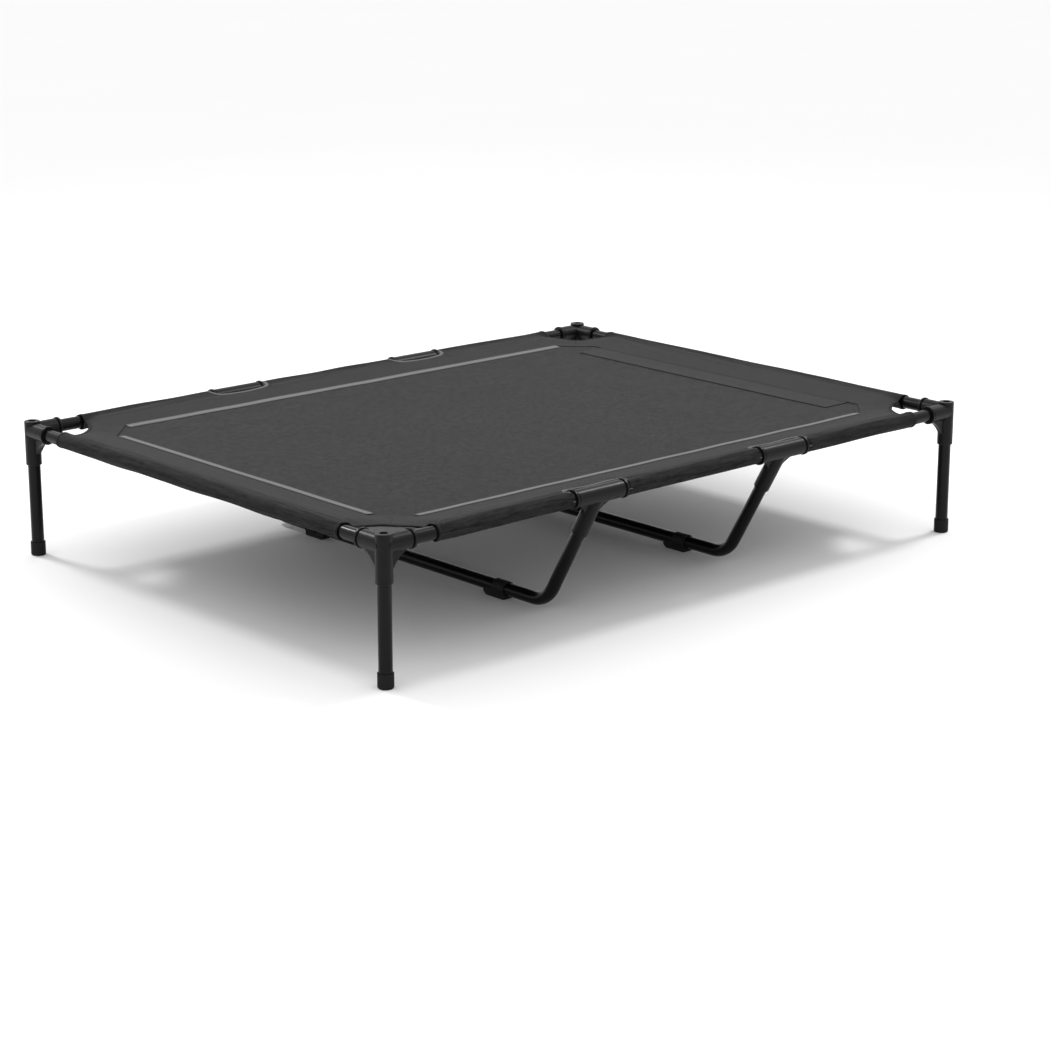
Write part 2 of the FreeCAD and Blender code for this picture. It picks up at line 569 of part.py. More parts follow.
def add_sleeve_loop(sketch, radius, tip, tip_height):
    """Draw the cloth's fold round the rail: an arc with a straight layer above and below to the seam."""
    distance = math.hypot(tip[1], tip_height[1])
    lean = math.atan2(tip_height[1], tip[1]) + math.acos(radius[1] / distance)
    upper = Vector(math.cos(lean), math.sin(lean), 0) * radius[1]
    lower = Vector(upper.x, -upper.y, 0)
    tip_up = Vector(tip[1], tip_height[1], 0)
    tip_down = Vector(tip[1], -tip_height[1], 0)
    fold = sketch.addGeometry(Part.Arc(upper, Vector(-radius[1], 0, 0), lower))
    over = sketch.addGeometry(Part.LineSegment(tip_up, upper))
    under = sketch.addGeometry(Part.LineSegment(lower, tip_down))
    sketch.addConstraint(Sketcher.Constraint("Coincident", fold, CENTRE, *ORIGIN))
    sketch.addConstraint(Sketcher.Constraint("Tangent", over, END, fold, START))
    sketch.addConstraint(Sketcher.Constraint("Tangent", fold, END, under, START))
    limit(sketch, "Radius", (fold,), (), radius[0], radius[1])
    limit(sketch, "DistanceX", ORIGIN, (over, START), tip[0], tip[1])
    limit(sketch, "DistanceY", ORIGIN, (over, START), tip_height[0], tip_height[1])
    limit(sketch, "DistanceX", ORIGIN, (under, END), tip[0], tip[1])
    limit(sketch, "DistanceY", ORIGIN, (under, END), f"-({tip_height[0]})", -tip_height[1])
    end = sketch.addGeometry(Part.LineSegment(tip_down, tip_up))
    sketch.addConstraint(Sketcher.Constraint("Coincident", under, END, end, START))
    sketch.addConstraint(Sketcher.Constraint("Coincident", end, END, over, START))


def cut_notch(body, name, centre, guess):
    """Cut the cover back round one tee, with rounded inner corners."""
    notch = add_sketch(body, name, "XY_Plane")
    half, depth, radius = VALUE["notch_length"] / 2, VALUE["notch_depth"], VALUE["notch_round"]
    outside = -VALUE["sleeve_od"]
    slant = Vector(math.sqrt(0.5), math.sqrt(0.5), 0) * radius
    left_middle = Vector(guess - half + radius - slant.x, depth - radius + slant.y, 0)
    right_middle = Vector(guess + half - radius + slant.x, depth - radius + slant.y, 0)
    points = [Vector(guess - half, outside, 0), Vector(guess + half, outside, 0),
              Vector(guess + half, depth - radius, 0), Vector(guess + half - radius, depth, 0),
              Vector(guess - half + radius, depth, 0), Vector(guess - half, depth - radius, 0)]
    edges = [notch.addGeometry(Part.LineSegment(points[0], points[1])),
             notch.addGeometry(Part.LineSegment(points[1], points[2])),
             notch.addGeometry(Part.Arc(points[2], right_middle, points[3])),
             notch.addGeometry(Part.LineSegment(points[3], points[4])),
             notch.addGeometry(Part.Arc(points[4], left_middle, points[5])),
             notch.addGeometry(Part.LineSegment(points[5], points[0]))]
    join_ends(notch, edges)
    for line, kind in ((0, "Horizontal"), (1, "Vertical"), (3, "Horizontal"), (5, "Vertical")):
        notch.addConstraint(Sketcher.Constraint(kind, edges[line]))
    left, right = f"{centre} - Dims.notch_length / 2", f"{centre} + Dims.notch_length / 2"
    limit(notch, "DistanceX", ORIGIN, (edges[0], START), left, points[0].x)
    limit(notch, "DistanceX", ORIGIN, (edges[0], END), right, points[1].x)
    limit(notch, "DistanceY", ORIGIN, (edges[0], START), "-Dims.sleeve_od", outside)
    limit(notch, "DistanceY", ORIGIN, (edges[1], END), "Dims.notch_depth - Dims.notch_round", points[2].y)
    limit(notch, "DistanceX", ORIGIN, (edges[3], START), f"{right} - Dims.notch_round", points[3].x)
    limit(notch, "DistanceY", ORIGIN, (edges[3], START), "Dims.notch_depth", depth)
    limit(notch, "DistanceX", ORIGIN, (edges[3], END), f"{left} + Dims.notch_round", points[4].x)
    limit(notch, "DistanceY", ORIGIN, (edges[5], START), "Dims.notch_depth - Dims.notch_round", points[5].y)
    limit(notch, "Radius", (edges[2],), (), "Dims.notch_round", radius)
    limit(notch, "Radius", (edges[4],), (), "Dims.notch_round", radius)
    add_pocket(body, notch, "2 * Dims.sleeve_od", midplane=True)


def cut_mitre(body, name, leg, guess, sign):
    """Cut one end of a band along the diagonal from the leg, where it is sewn to the next band."""
    mitre = add_sketch(body, name, "XY_Plane")
    reach = VALUE["corner_cut"] + VALUE["sleeve_od"]
    add_outline(mitre, [((f"{sign} * ({leg} + Dims.sleeve_od)", sign * (guess + VALUE["sleeve_od"])),
                         ("-Dims.sleeve_od - Dims.seam_gap", -VALUE["sleeve_od"] - VALUE["seam_gap"])),
                        ((f"{sign} * ({leg} + Dims.sleeve_od)", sign * (guess + VALUE["sleeve_od"])),
                         ("Dims.corner_cut + Dims.sleeve_od", reach)),
                        ((f"{sign} * ({leg} - Dims.corner_cut - Dims.sleeve_od - Dims.seam_gap)",
                          sign * (guess - reach - VALUE["seam_gap"])),
                         ("Dims.corner_cut + Dims.sleeve_od", reach))])
    add_pocket(body, mitre, "2 * Dims.sleeve_od", midplane=True)


def make_band(doc, label, leg, guess, notched):
    """Fold one band of the cover round its rail: X runs along the rail and +Y points inward."""
    body = make_body(doc, label)
    fold = add_sketch(body, f"{label}_fold", "YZ_Plane")
    outer = VALUE["sleeve_od"] / 2
    add_sleeve_loop(fold, ("Dims.sleeve_od / 2", outer), ("Dims.band_width", VALUE["band_width"]),
                    ("Dims.cloth", VALUE["cloth"]))
    add_sleeve_loop(fold, ("Dims.sleeve_od / 2 - Dims.cloth", outer - VALUE["cloth"]),
                    ("Dims.sleeve_tip", VALUE["sleeve_tip"]), ("Dims.cloth / 6", VALUE["cloth"] / 6))
    add_pad(body, fold, f"2 * {leg} - 2 * Dims.sleeve_od", midplane=True)
    for name, sign in (("left", -1), ("right", 1)):
        cut_mitre(body, f"{label}_{name}_mitre", leg, guess, sign)
        scoop = add_sketch(body, f"{label}_{name}_scoop", "XY_Plane")
        add_circle(scoop, "Dims.corner_cut", f"{sign} * {leg}", "0", VALUE["corner_cut"], (sign * guess, 0.0))
        add_pocket(body, scoop, "2 * Dims.sleeve_od", midplane=True)
        if notched:
            cut_notch(body, f"{label}_{name}_notch", f"{sign} * {TEE_X}", sign * TEE_AT)
    return body


def make_bands(doc):
    """Four bands of the cover, one round each side of the frame."""
    for side, y_sign in SIDES.items():
        band = make_band(doc, f"cover_band_{side}", LEG_X, LEG_AT["x"], True)
        turn = Rotation(Vector(0, 0, 1), 0 if side == "front" else 180)
        place(band, "0", f"{y_sign} * {LEG_Y}", "Dims.rail_height", turn)
    for end, x_sign in ENDS.items():
        band = make_band(doc, f"cover_band_{end}", LEG_Y, LEG_AT["y"], False)
        place(band, f"{x_sign} * {LEG_X}", "0", "Dims.rail_height", Rotation(Vector(0, 0, 1), 90 * x_sign))


def add_box(doc, label, size, corner):
    """Add a flat rectangular piece from formulas for its size and its lowest corner."""
    box = doc.addObject("Part::Box", label)
    box.Label = label
    bind(box, Length=size[0], Width=size[1], Height=size[2])
    place(box, *corner)


def make_panel(doc):
    """The centre panel, its light seam tapes on three sides and the stitched flap on the fourth."""
    half_x = f"({LEG_X} - Dims.band_width - Dims.seam_gap)"
    half_y = f"({LEG_Y} - Dims.band_width - Dims.seam_gap)"
    add_box(doc, "cover_panel", (f"2 * {half_x}", f"2 * {half_y}", "Dims.cloth"),
            (f"-{half_x}", f"-{half_y}", "Dims.rail_height - Dims.cloth / 2"))
    on_top = "Dims.rail_height + Dims.cloth / 2 + Dims.sewn_gap"
    add_box(doc, "seam_tape_front", ("Dims.long_tape", "Dims.tape_width", "Dims.tape_thick"),
            ("-Dims.long_tape / 2", f"-{half_y}", on_top))
    add_box(doc, "seam_tape_back", ("Dims.long_tape", "Dims.tape_width", "Dims.tape_thick"),
            ("-Dims.long_tape / 2", f"{half_y} - Dims.tape_width", on_top))
    add_box(doc, "seam_tape_left", ("Dims.tape_width", "Dims.short_tape", "Dims.tape_thick"),
            (f"-{half_x}", "-Dims.short_tape / 2", on_top))
    add_box(doc, "cover_flap_right", ("Dims.flap_width", "Dims.flap_length", "Dims.tape_thick"),
            (f"{half_x} - Dims.flap_width", "-Dims.flap_length / 2", on_top))


# ---------------------------------------------------------------- whole bed

def check_objects(doc):
    """Stop if any object failed to build, or any sub-part is empty, broken or not solid."""
    for item in doc.Objects:
        if {"Invalid", "Error"} & set(item.State):
            raise RuntimeError(f"{item.Name} failed: {item.State}")
    for node in list_nodes(doc):
        if node.Shape.isNull() or not node.Shape.isValid() or not node.Shape.Solids:
            raise RuntimeError(f"{node.Label} has no sound solid")


def list_nodes(doc):
    """List the sub-parts: bodies, groups and boxes that nothing else is built from."""
    kinds = ("PartDesign::Body", "Part::Compound", "Part::Box")
    return [item for item in doc.Objects if item.TypeId in kinds]


def main():
    """Build the bed and write one file for each sub-part."""
    doc = FreeCAD.newDocument("DogBed")
    make_sheet(doc)
    make_corners(doc)
    make_legs(doc)
    make_foot_caps(doc)
    make_leg_fasteners(doc)
    make_end_rails(doc)
    make_side_rails(doc)
    make_tees(doc)
    make_braces(doc)
    make_brace_feet(doc)
    make_bands(doc)
    make_panel(doc)
    doc.recompute()
    check_objects(doc)
    os.makedirs("parts", exist_ok=True)
    for node in list_nodes(doc):
        node.Shape.exportStep(f"parts/{node.Label}.step")
        print(f"{node.Label}: {len(node.Shape.Solids)} solid(s), {node.Shape.Volume:.0f} mm3")


main()
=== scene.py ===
"""Raised dog bed: the sewn cover, the finishes of the frame, and a plain studio round them.

Metres, in the frame's own axes: the floor under the middle of the bed is the origin, +X runs
along the long side, +Y from front to back and +Z up.
"""
import functools
import math

import bmesh
import bpy
import numpy as np
from bpy.props import FloatProperty, FloatVectorProperty, PointerProperty
from bpy.types import Operator, Panel, PropertyGroup
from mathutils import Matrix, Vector


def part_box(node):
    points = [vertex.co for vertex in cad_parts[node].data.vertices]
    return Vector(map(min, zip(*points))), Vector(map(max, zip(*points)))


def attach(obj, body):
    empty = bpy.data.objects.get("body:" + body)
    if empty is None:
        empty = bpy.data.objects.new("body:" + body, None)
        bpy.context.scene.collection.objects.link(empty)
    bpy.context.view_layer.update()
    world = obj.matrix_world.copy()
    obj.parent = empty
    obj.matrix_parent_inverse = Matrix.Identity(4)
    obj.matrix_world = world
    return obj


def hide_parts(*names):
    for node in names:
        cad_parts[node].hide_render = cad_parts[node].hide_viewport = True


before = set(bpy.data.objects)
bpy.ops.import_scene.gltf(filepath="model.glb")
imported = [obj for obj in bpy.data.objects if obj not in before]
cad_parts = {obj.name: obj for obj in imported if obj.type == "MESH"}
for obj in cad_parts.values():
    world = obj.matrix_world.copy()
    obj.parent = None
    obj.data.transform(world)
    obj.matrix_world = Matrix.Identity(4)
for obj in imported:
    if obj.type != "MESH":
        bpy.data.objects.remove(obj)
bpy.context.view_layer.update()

bl_info = {
    "name": "Raised Dog Bed",
    "version": (1, 0, 0),
    "blender": (4, 5, 0),
    "location": "View3D > Sidebar > Dog Bed",
    "description": "Makes the sewn cover and the finishes of a raised dog bed",
    "category": "Object",
}

MM = 0.001


# ------------------------------------------------------------- places read from the frame

def low(node, axis):
    """Lowest coordinate of a node along one axis."""
    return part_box(node)[0][axis]


def high(node, axis):
    """Highest coordinate of a node along one axis."""
    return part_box(node)[1][axis]


def middle(node, axis):
    """Middle of a node along one axis."""
    return (low(node, axis) + high(node, axis)) / 2


LEG_X = middle("leg_tube_front_right", 0)       # leg axes
LEG_Y = middle("leg_tube_back_right", 1)
RAIL_Z = middle("end_rail_left", 2)             # rail axes
TEE_X = middle("tee_connector_front_right", 0)  # middles of the tees
SLEEVE_OUTER = high("cover_band_back", 1) - LEG_Y
BAND_WIDTH = LEG_Y - high("cover_panel", 1)     # rail axis to the seam of the centre
CORNER_CUT = math.sqrt(2) * (LEG_X - high("cover_band_front", 0))

# ------------------------------------------------------------- how the cover is sewn

NOTCH_POWER = 6.0                               # squareness of the cut-outs at the tees
TEE_SLACK = 0.25                                # share of its height that a sleeve drops there
SEAM_RISE = 0.75 * MM                           # a band's top layer over the rail axes, at the seam
SCOOP = 34 * MM                                 # how far from a leg's cut-out the layers lie together
PATCH = 25 * MM                                 # how far past the seams a corner patch reaches
MITRE = BAND_WIDTH + PATCH                      # rail axis to the inner end of a mitre
AIR = 0.15 * MM                                 # between two cloths that lie on each other
HEM_PROUD = 0.5 * MM                            # how far a hem stands out on each face of the cloth
TAPE_LAP = 1 * MM                               # how far a tape laps past each edge of its CAD solid
TAPE_THICK = high("seam_tape_front", 2) - low("seam_tape_front", 2)
TAPE_WIDTH = high("seam_tape_front", 1) - low("seam_tape_front", 1) + 2 * TAPE_LAP
TAPE_STITCHES = 0.36                            # the tape's middle to a row of stitches, in widths
PANEL_TUCK = 1.5 * MM                           # how much of the centre and the flap a seam hides
FLAP_STITCHES = 2.6 * MM                        # edge of the flap to its stitches
SEAM_STITCHES = 3.6 * MM                        # seam to the stitches on the band
MITRE_STITCHES = 2.4 * MM                       # mitre to the stitches beside it
SUNK_STITCH = 0.4 * MM                          # height of a stitch that sinks into the cloth

# ------------------------------------------------------------- spacing of the cover's grids

END_GRID = 145 * MM                             # leg axis to where the grid of a band's end starts
COLUMN = 4 * MM                                 # along a band
FINE_CLOTH = 24 * MM                            # cloth over a sleeve that has a row each millimetre
TAPE_STEP = 3 * MM                              # along a tape

# ------------------------------------------------------------- the studio

LAMPS = {                                       # where each light hangs and what it faces
    "right_light": ((1.9, -0.4, 2.4), (-0.2, -0.44, 0.2)),
    "back_light": ((-0.75, 2.1, 2.1), (-0.59, 0, 0.2)),
}
LAMP_SIZE = 0.45
FLOOR_RADIUS = 60.0
SENSOR_WIDTH = 36                               # millimetres

# Each side: direction along the rail, direction inward, leg axis along it, rail's distance out.
# The sides follow one another round the bed, so one side's far end meets the next one's near end.
SIDES = {
    "front": ((1, 0), (0, 1), LEG_X, LEG_Y),
    "right": ((0, 1), (-1, 0), LEG_Y, LEG_X),
    "back": ((-1, 0), (0, -1), LEG_X, LEG_Y),
    "left": ((0, -1), (1, 0), LEG_Y, LEG_X),
}
NOTCHED = ("front", "back")
CORNERS = {
    "front_right": ("front", "right"),
    "back_right": ("right", "back"),
    "back_left": ("back", "left"),
    "front_left": ("left", "front"),
}


# ------------------------------------------------------------- sizes and colours to change

def length_property(name, description, default, least, most):
    """A length that the sidebar shows in the scene's unit, from least to most."""
    return FloatProperty(name=name, description=description, default=default,
                         min=least, max=most, unit="LENGTH")


class DogBedCoverSizes(PropertyGroup):
    """Sizes of the sewn cover."""

    cloth: length_property(
        "Band cloth", "Thickness of the cloth of the bands", 0.9 * MM, 0.3 * MM, 2 * MM)
    mesh: length_property(
        "Centre cloth", "Thickness of the woven centre", 0.6 * MM, 0.3 * MM, 2 * MM)
    sag: length_property(
        "Sag", "How far the middle of the centre hangs below its edges", 3.0 * MM, 0, 30 * MM)
    wrinkle: length_property(
        "Sleeve wrinkles", "Height of the soft wrinkles along the sleeves",
        0.55 * MM, 0, 0.9 * MM)
    crease: length_property(
        "Corner creases", "Height of the pulled creases beside the legs", 0.8 * MM, 0, 3 * MM)
    pucker: length_property(
        "Seam puckers", "Height of the small gathers along the seams", 0.2 * MM, 0, 1 * MM)
    notch_half: length_property(
        "Notch half length", "Half the length of the cut-out round a tee",
        54 * MM, 52 * MM, 80 * MM)
    notch_depth: length_property(
        "Notch depth", "Rail axis to the inner edge of the cut-out at a tee",
        20 * MM, 18 * MM, 40 * MM)
    hem: length_property(
        "Hem", "Width of the turned hem round the cut-outs", 6.0 * MM, 3 * MM, 12 * MM)
    stitch: length_property(
        "Stitch", "Pitch of the stitches", 3.4 * MM, 1.5 * MM, 8 * MM)


def colour_property(name, description, default):
    """A colour that the sidebar shows as a swatch, in linear light."""
    return FloatVectorProperty(name=name, description=description, default=default,
                               subtype="COLOR", size=3, min=0, max=1)


class DogBedColours(PropertyGroup):
    """Colours of the finishes."""

    plastic: colour_property(
        "Connectors", "Moulded corner and tee connectors", (0.0045, 0.0045, 0.0047))
    steel: colour_property("Tubes", "Powder coat on the tubes", (0.003, 0.003, 0.0032))
    rubber: colour_property("Feet", "Rubber caps and brace feet", (0.010, 0.010, 0.010))
    bolt: colour_property("Bolts", "Black oxide on the leg bolts", (0.05, 0.05, 0.052))
    centre: colour_property("Centre", "Threads of the woven centre", (0.0285, 0.0285, 0.0282))
    band: colour_property("Bands", "Cloth of the four bands", (0.0275, 0.0275, 0.0272))
    tape: colour_property("Tape", "Light tape along the seams", (0.13, 0.13, 0.128))
    thread: colour_property("Thread", "Dark sewing thread", (0.012, 0.012, 0.012))
    floor: colour_property("Floor", "Studio floor", (0.88, 0.88, 0.88))


class DogBedStageSettings(PropertyGroup):
    """Camera and light of the studio."""

    camera_place: FloatVectorProperty(
        name="Camera", description="Where the camera stands",
        default=(-2.755, -3.127, 1.192), size=3, subtype="XYZ", unit="LENGTH")
    camera_turn: FloatProperty(
        name="Turn", description="Angle of the camera round the bed",
        default=math.radians(-42.017), subtype="ANGLE")
    camera_lift: FloatProperty(
        name="Lift", description="Angle of the camera above the horizon",
        default=math.radians(15.583), subtype="ANGLE")
    lens: FloatProperty(
        name="Lens", description="Focal length in millimetres on a 36 mm sensor",
        default=91.3, min=20)
    right: FloatProperty(
        name="Right light", description="Power of the light above the right-hand end",
        default=30, min=0, unit="POWER")
    back: FloatProperty(
        name="Back light", description="Power of the light behind the bed",
        default=30, min=0, unit="POWER")
    sky: FloatProperty(
        name="Surround", description="Strength of the white surround overhead",
        default=1.15, min=0)
    horizon: FloatProperty(
        name="Horizon", description="Strength of the surround at the horizon",
        default=0.9, min=0)


def cover():
    """The cover's sizes."""
    return bpy.context.scene.dog_bed_cover


def colours():
    """The finishes' colours."""
    return bpy.context.scene.dog_bed_colours


# ------------------------------------------------------------- shader building

class Value:
    """A number, colour or vector in a shader. Arithmetic on a number adds Math nodes."""

    def __init__(self, shader, socket):
        self.shader = shader
        self.socket = socket

    def math(self, operation, *terms):
        """One Math node on these terms."""
        return self.shader.node("ShaderNodeMath", {"operation": operation}, dict(enumerate(terms)))

    def __add__(self, other):
        return self.math("ADD", self, other)

    def __sub__(self, other):
        return self.math("SUBTRACT", self, other)

    def __rsub__(self, other):
        return self.math("SUBTRACT", other, self)

    def __mul__(self, other):
        return self.math("MULTIPLY", self, other)

    def __truediv__(self, other):
        return self.math("DIVIDE", self, other)

    def __rtruediv__(self, other):
        return self.math("DIVIDE", other, self)

    def __abs__(self):
        return self.math("ABSOLUTE", self)

    __radd__ = __add__
    __rmul__ = __mul__

    def sine(self):
        return self.math("SINE", self)

    def floor(self):
        return self.math("FLOOR", self)

    def ping_pong(self, size):
        return self.math("PINGPONG", self, size)

    def step(self, start, end):
        """0 below start, 1 above end, smooth between."""
        return self.shader.node("ShaderNodeMapRange", {"interpolation_type": "SMOOTHSTEP"},
                                {"Value": self, "From Min": start, "From Max": end})


class Nodes:
    """A node tree that is filled node by node."""

    def __init__(self, tree):
        self.tree = tree

    def node(self, kind, settings=None, inputs=None, output=0):
        """Add a node: its settings first, then a value or a link for each of its inputs."""
        node = self.tree.nodes.new(kind)
        for name, value in (settings or {}).items():
            setattr(node, name, value)
        for name, value in (inputs or {}).items():
            self.feed(node.inputs[name], value)
        return Value(self, node.outputs[output])

    def feed(self, socket, value):
        """Link a Value to a socket, or set the socket to a plain number, colour or vector."""
        if isinstance(value, Value):
            self.tree.links.new(value.socket, socket)
        else:
            socket.default_value = value

    def axes(self, vector):
        """The three numbers of a vector."""
        split = self.node("ShaderNodeSeparateXYZ", inputs={0: vector}).socket.node
        return [Value(self, socket) for socket in split.outputs]


class Finish(Nodes):
    """A material with one Principled shader."""

    def __init__(self, name):
        self.material = bpy.data.materials.new(name)
        self.material.use_nodes = True
        super().__init__(self.material.node_tree)
        self.surface = self.tree.nodes["Principled BSDF"]

    def place(self, source="Object"):
        """Object coordinates, or the piece's own UV map, in metres."""
        return self.node("ShaderNodeTexCoord", output={"Object": 3, "UV": 2}[source])

    def noise(self, vector, scale, detail=2.0, roughness=0.5):
        """Soft noise from 0 to 1, with scale features to the metre."""
        return self.node("ShaderNodeTexNoise", {}, {
            "Vector": vector, "Scale": scale, "Detail": detail, "Roughness": roughness})

    def streaks(self, vector, first, second, detail=2.0, roughness=0.5):
        """Noise drawn out along one axis: its features to the metre along each of two axes."""
        drawn_out = self.node("ShaderNodeVectorMath", {"operation": "MULTIPLY"},
                              {0: vector, 1: (first, second, 1.0)})
        return self.noise(drawn_out, 1.0, detail, roughness)

    def mix(self, factor, first, second):
        """The first colour where factor is 0 and the second where it is 1."""
        return self.node("ShaderNodeMix", {"data_type": "RGBA"},
                         {0: factor, 6: first, 7: second}, output=2)

    def tones(self, factor, colour, dark, light):
        """A colour times dark where factor is 0, and times light where it is 1."""
        return self.mix(factor, opaque(colour, dark), opaque(colour, light))

    def bump(self, height, distance, strength=1.0):
        """A normal bent by a height from 0 to 1 that stands for this distance in metres."""
        return self.node("ShaderNodeBump", {}, {
            "Strength": strength, "Distance": distance, "Height": height})

    def finish(self, **inputs):
        """Set or link the Principled shader's inputs, and return the material."""
        for name, value in inputs.items():
            self.feed(self.surface.inputs[name.replace("_", " ")], value)
        return self.material


def opaque(colour, gain=1.0):
    """A colour property as an opaque shader colour, made lighter or darker by gain."""
    return (*(channel * gain for channel in colour), 1.0)


def cached(make):
    """Make a finish once and give the same material each later time."""
    @functools.wraps(make)
    def get():
        name = f"bed_{make.__name__}"
        return bpy.data.materials.get(name) or make(Finish(name), colours())
    return get


# ------------------------------------------------------------- finishes of the frame

@cached
def moulded_plastic(shade, colour):
    """Satin black moulding: a fine sparked texture, soft flow marks and slightly rubbed patches."""
    place = shade.place()
    spark = shade.noise(place, 1700, 3.0, 0.6)
    flow = shade.noise(place, 38, 2.0)
    rubbed = shade.noise(place, 90, 4.0, 0.6).step(0.45, 0.75)
    base = shade.tones(flow.step(0.3, 0.7), colour.plastic, 0.86, 1.16)
    return shade.finish(
        Base_Color=shade.mix(rubbed * 0.5, base, opaque(colour.plastic, 1.5)),
        Roughness=0.27 + 0.10 * spark - 0.05 * rubbed + 0.06 * flow,
        Normal=shade.bump(spark * 0.2 + flow * 6.0, 0.04 * MM, 0.5),
        Specular_IOR_Level=0.15)


@cached
def powder_coat(shade, colour):
    """Satin powder coat: fine orange peel over the tube's faint draw lines."""
    place = shade.place()
    peel = shade.noise(place, 620, 2.0, 0.45)
    cloud = shade.noise(place, 12, 3.0)
    speck = shade.noise(place, 2600, 1.0).step(0.66, 0.74)
    base = shade.tones(cloud.step(0.35, 0.65), colour.steel, 0.85, 1.2)
    return shade.finish(
        Base_Color=shade.mix(speck * 0.35, base, opaque(colour.steel, 2.4)),
        Roughness=0.17 + 0.07 * peel + 0.06 * cloud,
        Normal=shade.bump(peel, 0.03 * MM, 0.5),
        Specular_IOR_Level=0.15)


@cached
def black_rubber(shade, colour):
    """Matt rubber: a dry, speckled skin with a paler bloom in patches."""
    place = shade.place()
    skin = shade.noise(place, 900, 4.0, 0.65)
    bloom = shade.noise(place, 60, 3.0).step(0.5, 0.8)
    return shade.finish(
        Base_Color=shade.tones(bloom * 0.4, colour.rubber, 1.0, 1.9),
        Roughness=0.62 + 0.16 * skin,
        Normal=shade.bump(skin, 0.10 * MM, 0.7),
        Specular_IOR_Level=0.12)


@cached
def clip_rubber(shade, colour):
    """Firmer moulded rubber of the brace feet, a little smoother than the leg caps."""
    place = shade.place()
    skin = shade.noise(place, 1300, 3.0, 0.6)
    bloom = shade.noise(place, 45, 2.0).step(0.45, 0.8)
    return shade.finish(
        Base_Color=shade.tones(bloom * 0.35, colour.rubber, 0.95, 1.6),
        Roughness=0.50 + 0.14 * skin,
        Normal=shade.bump(skin, 0.08 * MM, 0.7),
        Specular_IOR_Level=0.14)


@cached
def black_oxide(shade, colour):
    """Black oxide steel: dark metal with a fine grain and oily cloudiness."""
    place = shade.place()
    oil = shade.noise(place, 260, 3.0)
    grain = shade.noise(place, 3200, 2.0)
    return shade.finish(
        Base_Color=shade.tones(oil.step(0.35, 0.7), colour.bolt, 0.7, 1.5),
        Metallic=0.85,
        Roughness=0.30 + 0.16 * oil,
        Normal=shade.bump(grain, 0.02 * MM, 0.5))


@cached
def insert_plastic(shade, colour):
    """Plain black plastic of the threaded inserts."""
    grain = shade.noise(shade.place(), 900, 2.0)
    return shade.finish(
        Base_Color=shade.tones(grain, colour.plastic, 1.0, 1.4),
        Roughness=0.45 + 0.1 * grain,
        Normal=shade.bump(grain, 0.03 * MM, 0.5))


# ------------------------------------------------------------- finishes of the cover

def plain_weave(across, along, pitch):
    """Height of a plain weave: rounded threads one way stand over the others, square by square."""
    first, second = across / pitch, along / pitch
    over = ((first.floor() + second.floor()) * 0.5).ping_pong(0.5) * 2.0
    return abs((first * math.pi).sine()) * over + abs((second * math.pi).sine()) * (1.0 - over)


@cached
def centre_mesh(shade, colour):
    """Charcoal sling mesh: a plain weave of coated threads, mottled like the real yarn."""
    place = shade.place()
    across, along, _ = shade.axes(place)
    weave = plain_weave(across, along, 1.35 * MM)
    mottle = shade.noise(place, 120, 5.0, 0.75)
    warp = shade.streaks(place, 900.0, 9.0)
    weft = shade.streaks(place, 9.0, 900.0)
    cloud = shade.noise(place, 7, 2.0)
    tone = (0.26 * weave.step(0.05, 0.75) + 0.42 * mottle.step(0.36, 0.64)
            + 0.16 * warp + 0.16 * weft)
    base = shade.tones(tone, colour.centre, 0.4, 1.65)
    return shade.finish(
        Base_Color=shade.mix(cloud.step(0.3, 0.7) * 0.16, base, opaque(colour.centre, 0.8)),
        Roughness=0.74 - 0.14 * weave + 0.06 * mottle,
        Normal=shade.bump(weave * 0.8 + mottle * 0.9, 0.22 * MM, 0.8),
        Specular_IOR_Level=0.06)


def band_weave(shade, colour, gain):
    """Tight smooth cloth: a fine plain weave along the cut, painted shade on the sleeves and their
    creases.
    """
    place = shade.place("UV")
    along, across, _ = shade.axes(place)
    weave = plain_weave(along, across, 0.55 * MM)
    yarn_a = shade.streaks(place, 6.0, 1100.0)
    yarn_b = shade.streaks(place, 1100.0, 6.0)
    cloud = shade.streaks(place, 14.0, 45.0, 3.0, 0.6)
    lane = shade.streaks(place, 17.0, 190.0, 5.0, 0.7).step(0.4, 0.62)
    fleck = shade.streaks(place, 70.0, 520.0, 3.0, 0.6).step(0.42, 0.66)
    # Painted shade: the sleeve mask darkens the cloth round the rail, and the crease lanes darken it
    # further.
    sleeve = 1.0 - abs(across).step(22 * MM, 42 * MM)
    crease_relief_and_shade = sleeve * (0.62 * lane + 0.38 * fleck)
    tone = 0.35 * weave + 0.2 * yarn_a + 0.2 * yarn_b + 0.25 * cloud.step(0.3, 0.7)
    base = shade.tones(tone, colour.band, 0.66 * gain, 1.34 * gain)
    height = weave + yarn_a * 0.5 + yarn_b * 0.4 - crease_relief_and_shade * 3.5
    return shade.finish(
        # Painted shade: the sleeve and its crease lanes pull the colour towards a tenth of the band's
        # own colour.
        Base_Color=shade.mix(sleeve * 0.30 + crease_relief_and_shade * 0.68, base, opaque(colour.band, 0.1 * gain)),
        Roughness=0.6 - 0.12 * weave + 0.1 * cloud,
        Normal=shade.bump(height, 0.12 * MM, 0.85),
        Specular_IOR_Level=0.06)


@cached
def band_cloth(shade, colour):
    """Cloth of the four bands and their hems."""
    return band_weave(shade, colour, 1.0)


@cached
def flap_cloth(shade, colour):
    """Cloth of the stitched flap: the bands' cloth, a shade lighter."""
    return band_weave(shade, colour, 1.06)


